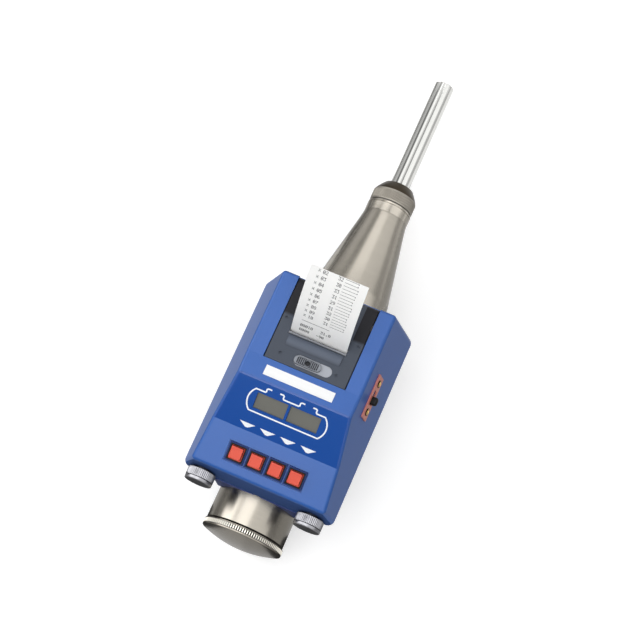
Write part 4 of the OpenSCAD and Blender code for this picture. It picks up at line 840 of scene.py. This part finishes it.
class HAMMER_OT_switch(bpy.types.Operator):
    """Turns the two slotted brass screws and moulds the rounded knob of the slide switch"""
    bl_idname = "hammer.switch"
    bl_label = "Switch"

    def execute(self, context):
        # Heads: shank, seat, rim and a dome 1 mm high, with a slot across the dome that is turned by 0.9 radians
        t = np.linspace(0, TURN, 48, endpoint=False)
        shank, rim, lean = 1.2, 2.7, 0.9
        dome = np.linspace(2.6, 0.05, 12)
        r = np.array([shank, shank, rim, rim, *dome])[:, None]
        out = np.array([-3.0, 1.2, 1.2, 1.5, *(2.25 - (dome / rim) ** 2)])[:, None]
        along, up = r * np.cos(t), r * np.sin(t)
        slot = np.abs(along * math.sin(lean) - up * math.cos(lean)) < 0.42
        out = out - 0.7 * slot * (np.arange(len(r)) > 3)[:, None]
        heads = [stacked(on_side(mid + along, up, out)) for mid in (-10.65, 10.65)]
        solid("switch_screw_heads", *joined(heads), "housing", "brass", "screw", ["switch_screws"], sharp=40)

        # Knob: heights over the wall, half lengths and half widths of its loops
        mid = middle("switch_knob")[1] - SWITCH[1]
        x, y = rounded(3.2, 48)
        out = np.array([-5.4, 0.4, 3.6, 4.5, 5.0, 5.3, 5.4])[:, None]
        long = np.array([3.0, 3.0, 3.0, 2.8, 2.3, 1.4, 0.3])[:, None]
        wide = np.array([2.0, 2.0, 2.0, 1.9, 1.6, 1.0, 0.2])[:, None]
        made = stacked(on_side(mid + long * x, wide * y, out))
        solid("switch_knob_rounded", *made, "switch_knob", "black_plastic", "black", ["switch_knob"])
        return {"FINISHED"}


# Camera fitted to the photograph: frame and focal length in pixels, the point it was fitted about, the eye from
# there in the camera's own axes in millimetres, turns about X, Y and Z, sensor width in millimetres
IMAGE, FOCAL, SENSOR = 640, 1672.547, 36.0
ABOUT, EYE, TURNS = (0, 143.0, 20.0), (0.1631, 27.3584, 1183.0058), (-0.2836, -0.1003, -0.3954)
# Softboxes that light the object: name, place and side in metres, strength
LAMPS = (("softbox", (0.0, -0.45, 1.42), 1.4, 2.2), ("left", (-1.2, 0.1, 0.75), 0.8, 3.2))
# Strength of the sky as light, where the eye and mirrors see 1, and of the floor's glow for the eye and mirrors
SKY, GLOW = 0.4, 0.48
# Glowing cards on a ring round the tube, which only mirrors see: painted reflections. Each zone has its rear and
# front end in metres, then first and last angle from straight up and brightness of its cards: bright ones stand in
# for the softboxes' faces, dark ones draw painted streaks.
RING = 0.95
ZONES = (
    (-1.7, -0.76, ((-25, 20, 0.06),)),
    (-0.75, -0.3, ((-86, -52, 2.0), (-50, -38, 1.2), (-31, 1, 4.4), (1, 57, 1.7), (60, 86, 0.4))),
    (-0.3, 0.2, ((-93, -79, 0.35), (-77, -43, 4.2), (-43, -32, 2.2), (-31, 4, 3.6), (4, 64, 1.75), (66, 93, 0.4))),
    (0.2, 0.362, ((-93, -79, 0.35), (-77, -43, 4.2), (-43, -32, 2.2), (-31, 4, 3.6), (4, 76, 2.2), (77, 93, 0.8))),
    (0.362, 0.62, ((-95, -62, 0.65), (-62, -42, 0.25), (-38, -12, 1.4), (-12, 0, 0.9), (0, 12, 0.4), (12, 60, 1.4),
                   (64, 96, 0.65))),
    (0.62, 1.7, ((-86, -56, 1.2), (-54, -33, 0.6), (-31, 10, 2.6), (10, 70, 1.7), (72, 88, 0.8))),
)
# Glowing cards just over the floor, which only mirrors see, where the object shades it: painted shade in the
# floor's reflection. Left and right end, rear and front end, brightness. Each lies a step over the one before,
# because they overlap.
FLOOR_STEP = 0.5 * MM
FLOOR_CARDS = (
    (0, 0.9, -0.45, 0.03, 0.56), (-0.12, 0, -0.45, 0.03, 0.65), (-0.8, -0.12, -0.45, 0.07, 0.3),
    (-0.15, -0.06, 0.08, 0.32, 0.28), (-0.075, -0.034, -0.26, -0.165, 0.05), (0.026, 0.075, -0.26, -0.165, 0.05),
    (0.03, 0.4, 0.031, 0.125, 0.7), (-0.058, -0.02, 0.031, 0.125, 0.7), (-0.8, -0.16, 0.08, 0.5, 0.35),
)


class HAMMER_OT_stage(bpy.types.Operator):
    """Sets the pale floor, the soft light, the cards that metal mirrors, and the camera"""
    bl_idname = "hammer.stage"
    bl_label = "Stage"

    def execute(self, context):
        scene = context.scene
        scene.view_settings.view_transform = "Standard"
        x, y, z = (Matrix.Rotation(angle, 3, axis) for angle, axis in zip(TURNS, "XYZ"))
        back = (z @ y @ x).transposed()
        eye = place(*ABOUT) + np.array(back) @ np.array(EYE) * MM
        lens = bpy.data.cameras.new("camera")
        lens.sensor_width = SENSOR
        lens.lens = FOCAL * SENSOR / IMAGE
        lens.clip_start, lens.clip_end = 0.05, 20
        camera = bpy.data.objects.new("camera", lens)
        camera.matrix_world = Matrix.Translation(eye.tolist()) @ back.to_4x4()
        scene.collection.objects.link(camera)
        scene.camera = camera

        scene.world = bpy.data.worlds.new("studio")
        tree = emptied(scene.world)
        level = add(tree, "ShaderNodeMath", {0: self.seen(tree), 1: 1 - SKY, 2: SKY}, operation="MULTIPLY_ADD")
        sky = add(tree, "ShaderNodeBackground", {"Strength": level})
        add(tree, "ShaderNodeOutputWorld", {"Surface": sky})

        # Floor of pale matt board: diffuse, with a glow for the eye and for mirrors so that it reads as white
        board = bpy.data.materials.new("Pale matt board")
        tree = emptied(board)
        glow = add(tree, "ShaderNodeMath", {0: self.seen(tree), 1: GLOW}, operation="MULTIPLY")
        matt = add(tree, "ShaderNodeBsdfDiffuse", {"Color": linear("#E6E6E6")})
        lit = add(tree, "ShaderNodeEmission", {"Strength": glow})
        both = add(tree, "ShaderNodeAddShader", {0: matt, 1: lit})
        add(tree, "ShaderNodeOutputMaterial", {"Surface": both})
        self.sheet("floor", (-4, 0), (4, 0), -4, 4, board)

        cards = [((x0, (1 + i) * FLOOR_STEP), (x1, (1 + i) * FLOOR_STEP), rear, front, level)
                 for i, (x0, x1, rear, front, level) in enumerate(FLOOR_CARDS)]
        for rear, front, row in ZONES:
            for first, last, level in row:
                ends = ((RING * math.sin(v), RING * math.cos(v) + AXIS) for v in np.radians([first, last]))
                cards.append((*ends, rear, front, level))
        for i, (*where, level) in enumerate(cards):
            tone = bpy.data.materials.new(f"Card {i}")
            tree = emptied(tone)
            flat = add(tree, "ShaderNodeEmission", {"Strength": level})
            add(tree, "ShaderNodeOutputMaterial", {"Surface": flat})
            card = self.sheet(f"card_{i}", *where, tone)
            card.visible_camera = card.visible_shadow = card.visible_diffuse = False

        # Diffuse light: a softbox beside the camera and one on the left, which mirrors don't see; the glowing
        # cards stand in for their mirror images, painted reflections
        for name, spot, wide, level in LAMPS:
            lamp = bpy.data.lights.new(name, "AREA")
            lamp.size = wide
            lamp.energy = level * math.pi * wide ** 2
            light = bpy.data.objects.new(name, lamp)
            light.location = spot
            light.rotation_euler = Vector(spot).to_track_quat("Z", "Y").to_euler()
            light.visible_glossy = False
            scene.collection.objects.link(light)
        return {"FINISHED"}

    def seen(self, tree):
        """Share that is 1 for rays from the eye, a mirror or glass, and 0 for those that gather light."""
        ray = add(tree, "ShaderNodeLightPath").outputs
        share = ray["Is Camera Ray"]
        for kind in ("Is Glossy Ray", "Is Transmission Ray"):
            share = add(tree, "ShaderNodeMath", {0: share, 1: ray[kind]}, operation="ADD", use_clamp=True)
        return share

    def sheet(self, name, left, right, rear, front, material):
        """A flat sheet of the stage between two edges, each (x, z), from the rear to the front."""
        (x0, z0), (x1, z1) = left, right
        mesh = bpy.data.meshes.new(name)
        mesh.from_pydata([(x0, rear, z0), (x1, rear, z1), (x1, front, z1), (x0, front, z0)], [], [(0, 1, 2, 3)])
        mesh.materials.append(material)
        made = bpy.data.objects.new(name, mesh)
        bpy.context.scene.collection.objects.link(made)
        return made


class HAMMER_PT_panel(bpy.types.Panel):
    """Lists the sizes, the colours and the pieces"""
    bl_idname = "HAMMER_PT_panel"
    bl_label = "Concrete Test Hammer"
    bl_space_type = "VIEW_3D"
    bl_region_type = "UI"
    bl_category = "Hammer"

    def draw(self, context):
        for group in (context.scene.hammer_sizes, context.scene.hammer_colours):
            box = self.layout.box()
            for name in group.__annotations__:
                box.prop(group, name)
        for operator in OPERATORS:
            self.layout.operator(operator.bl_idname)


# The stage comes first; main() calls these in order
OPERATORS = (HAMMER_OT_stage, HAMMER_OT_finishes, HAMMER_OT_tube, HAMMER_OT_rear_cap, HAMMER_OT_nose,
             HAMMER_OT_plunger, HAMMER_OT_thumbscrews, HAMMER_OT_keys, HAMMER_OT_latch, HAMMER_OT_tear_bar,
             HAMMER_OT_well_strips, HAMMER_OT_paper, HAMMER_OT_display_marks, HAMMER_OT_switch)
CLASSES = (HammerSizes, HammerColours, *OPERATORS, HAMMER_PT_panel)


def register():
    for item in CLASSES:
        bpy.utils.register_class(item)
    bpy.types.Scene.hammer_sizes = bpy.props.PointerProperty(type=HammerSizes)
    bpy.types.Scene.hammer_colours = bpy.props.PointerProperty(type=HammerColours)


def unregister():
    del bpy.types.Scene.hammer_colours
    del bpy.types.Scene.hammer_sizes
    for item in reversed(CLASSES):
        bpy.utils.unregister_class(item)


def main():
    """Makes every piece in order."""
    register()
    for operator in OPERATORS:
        group, name = operator.bl_idname.split(".")
        getattr(getattr(bpy.ops, group), name)()


if __name__ == "__main__":
    main()
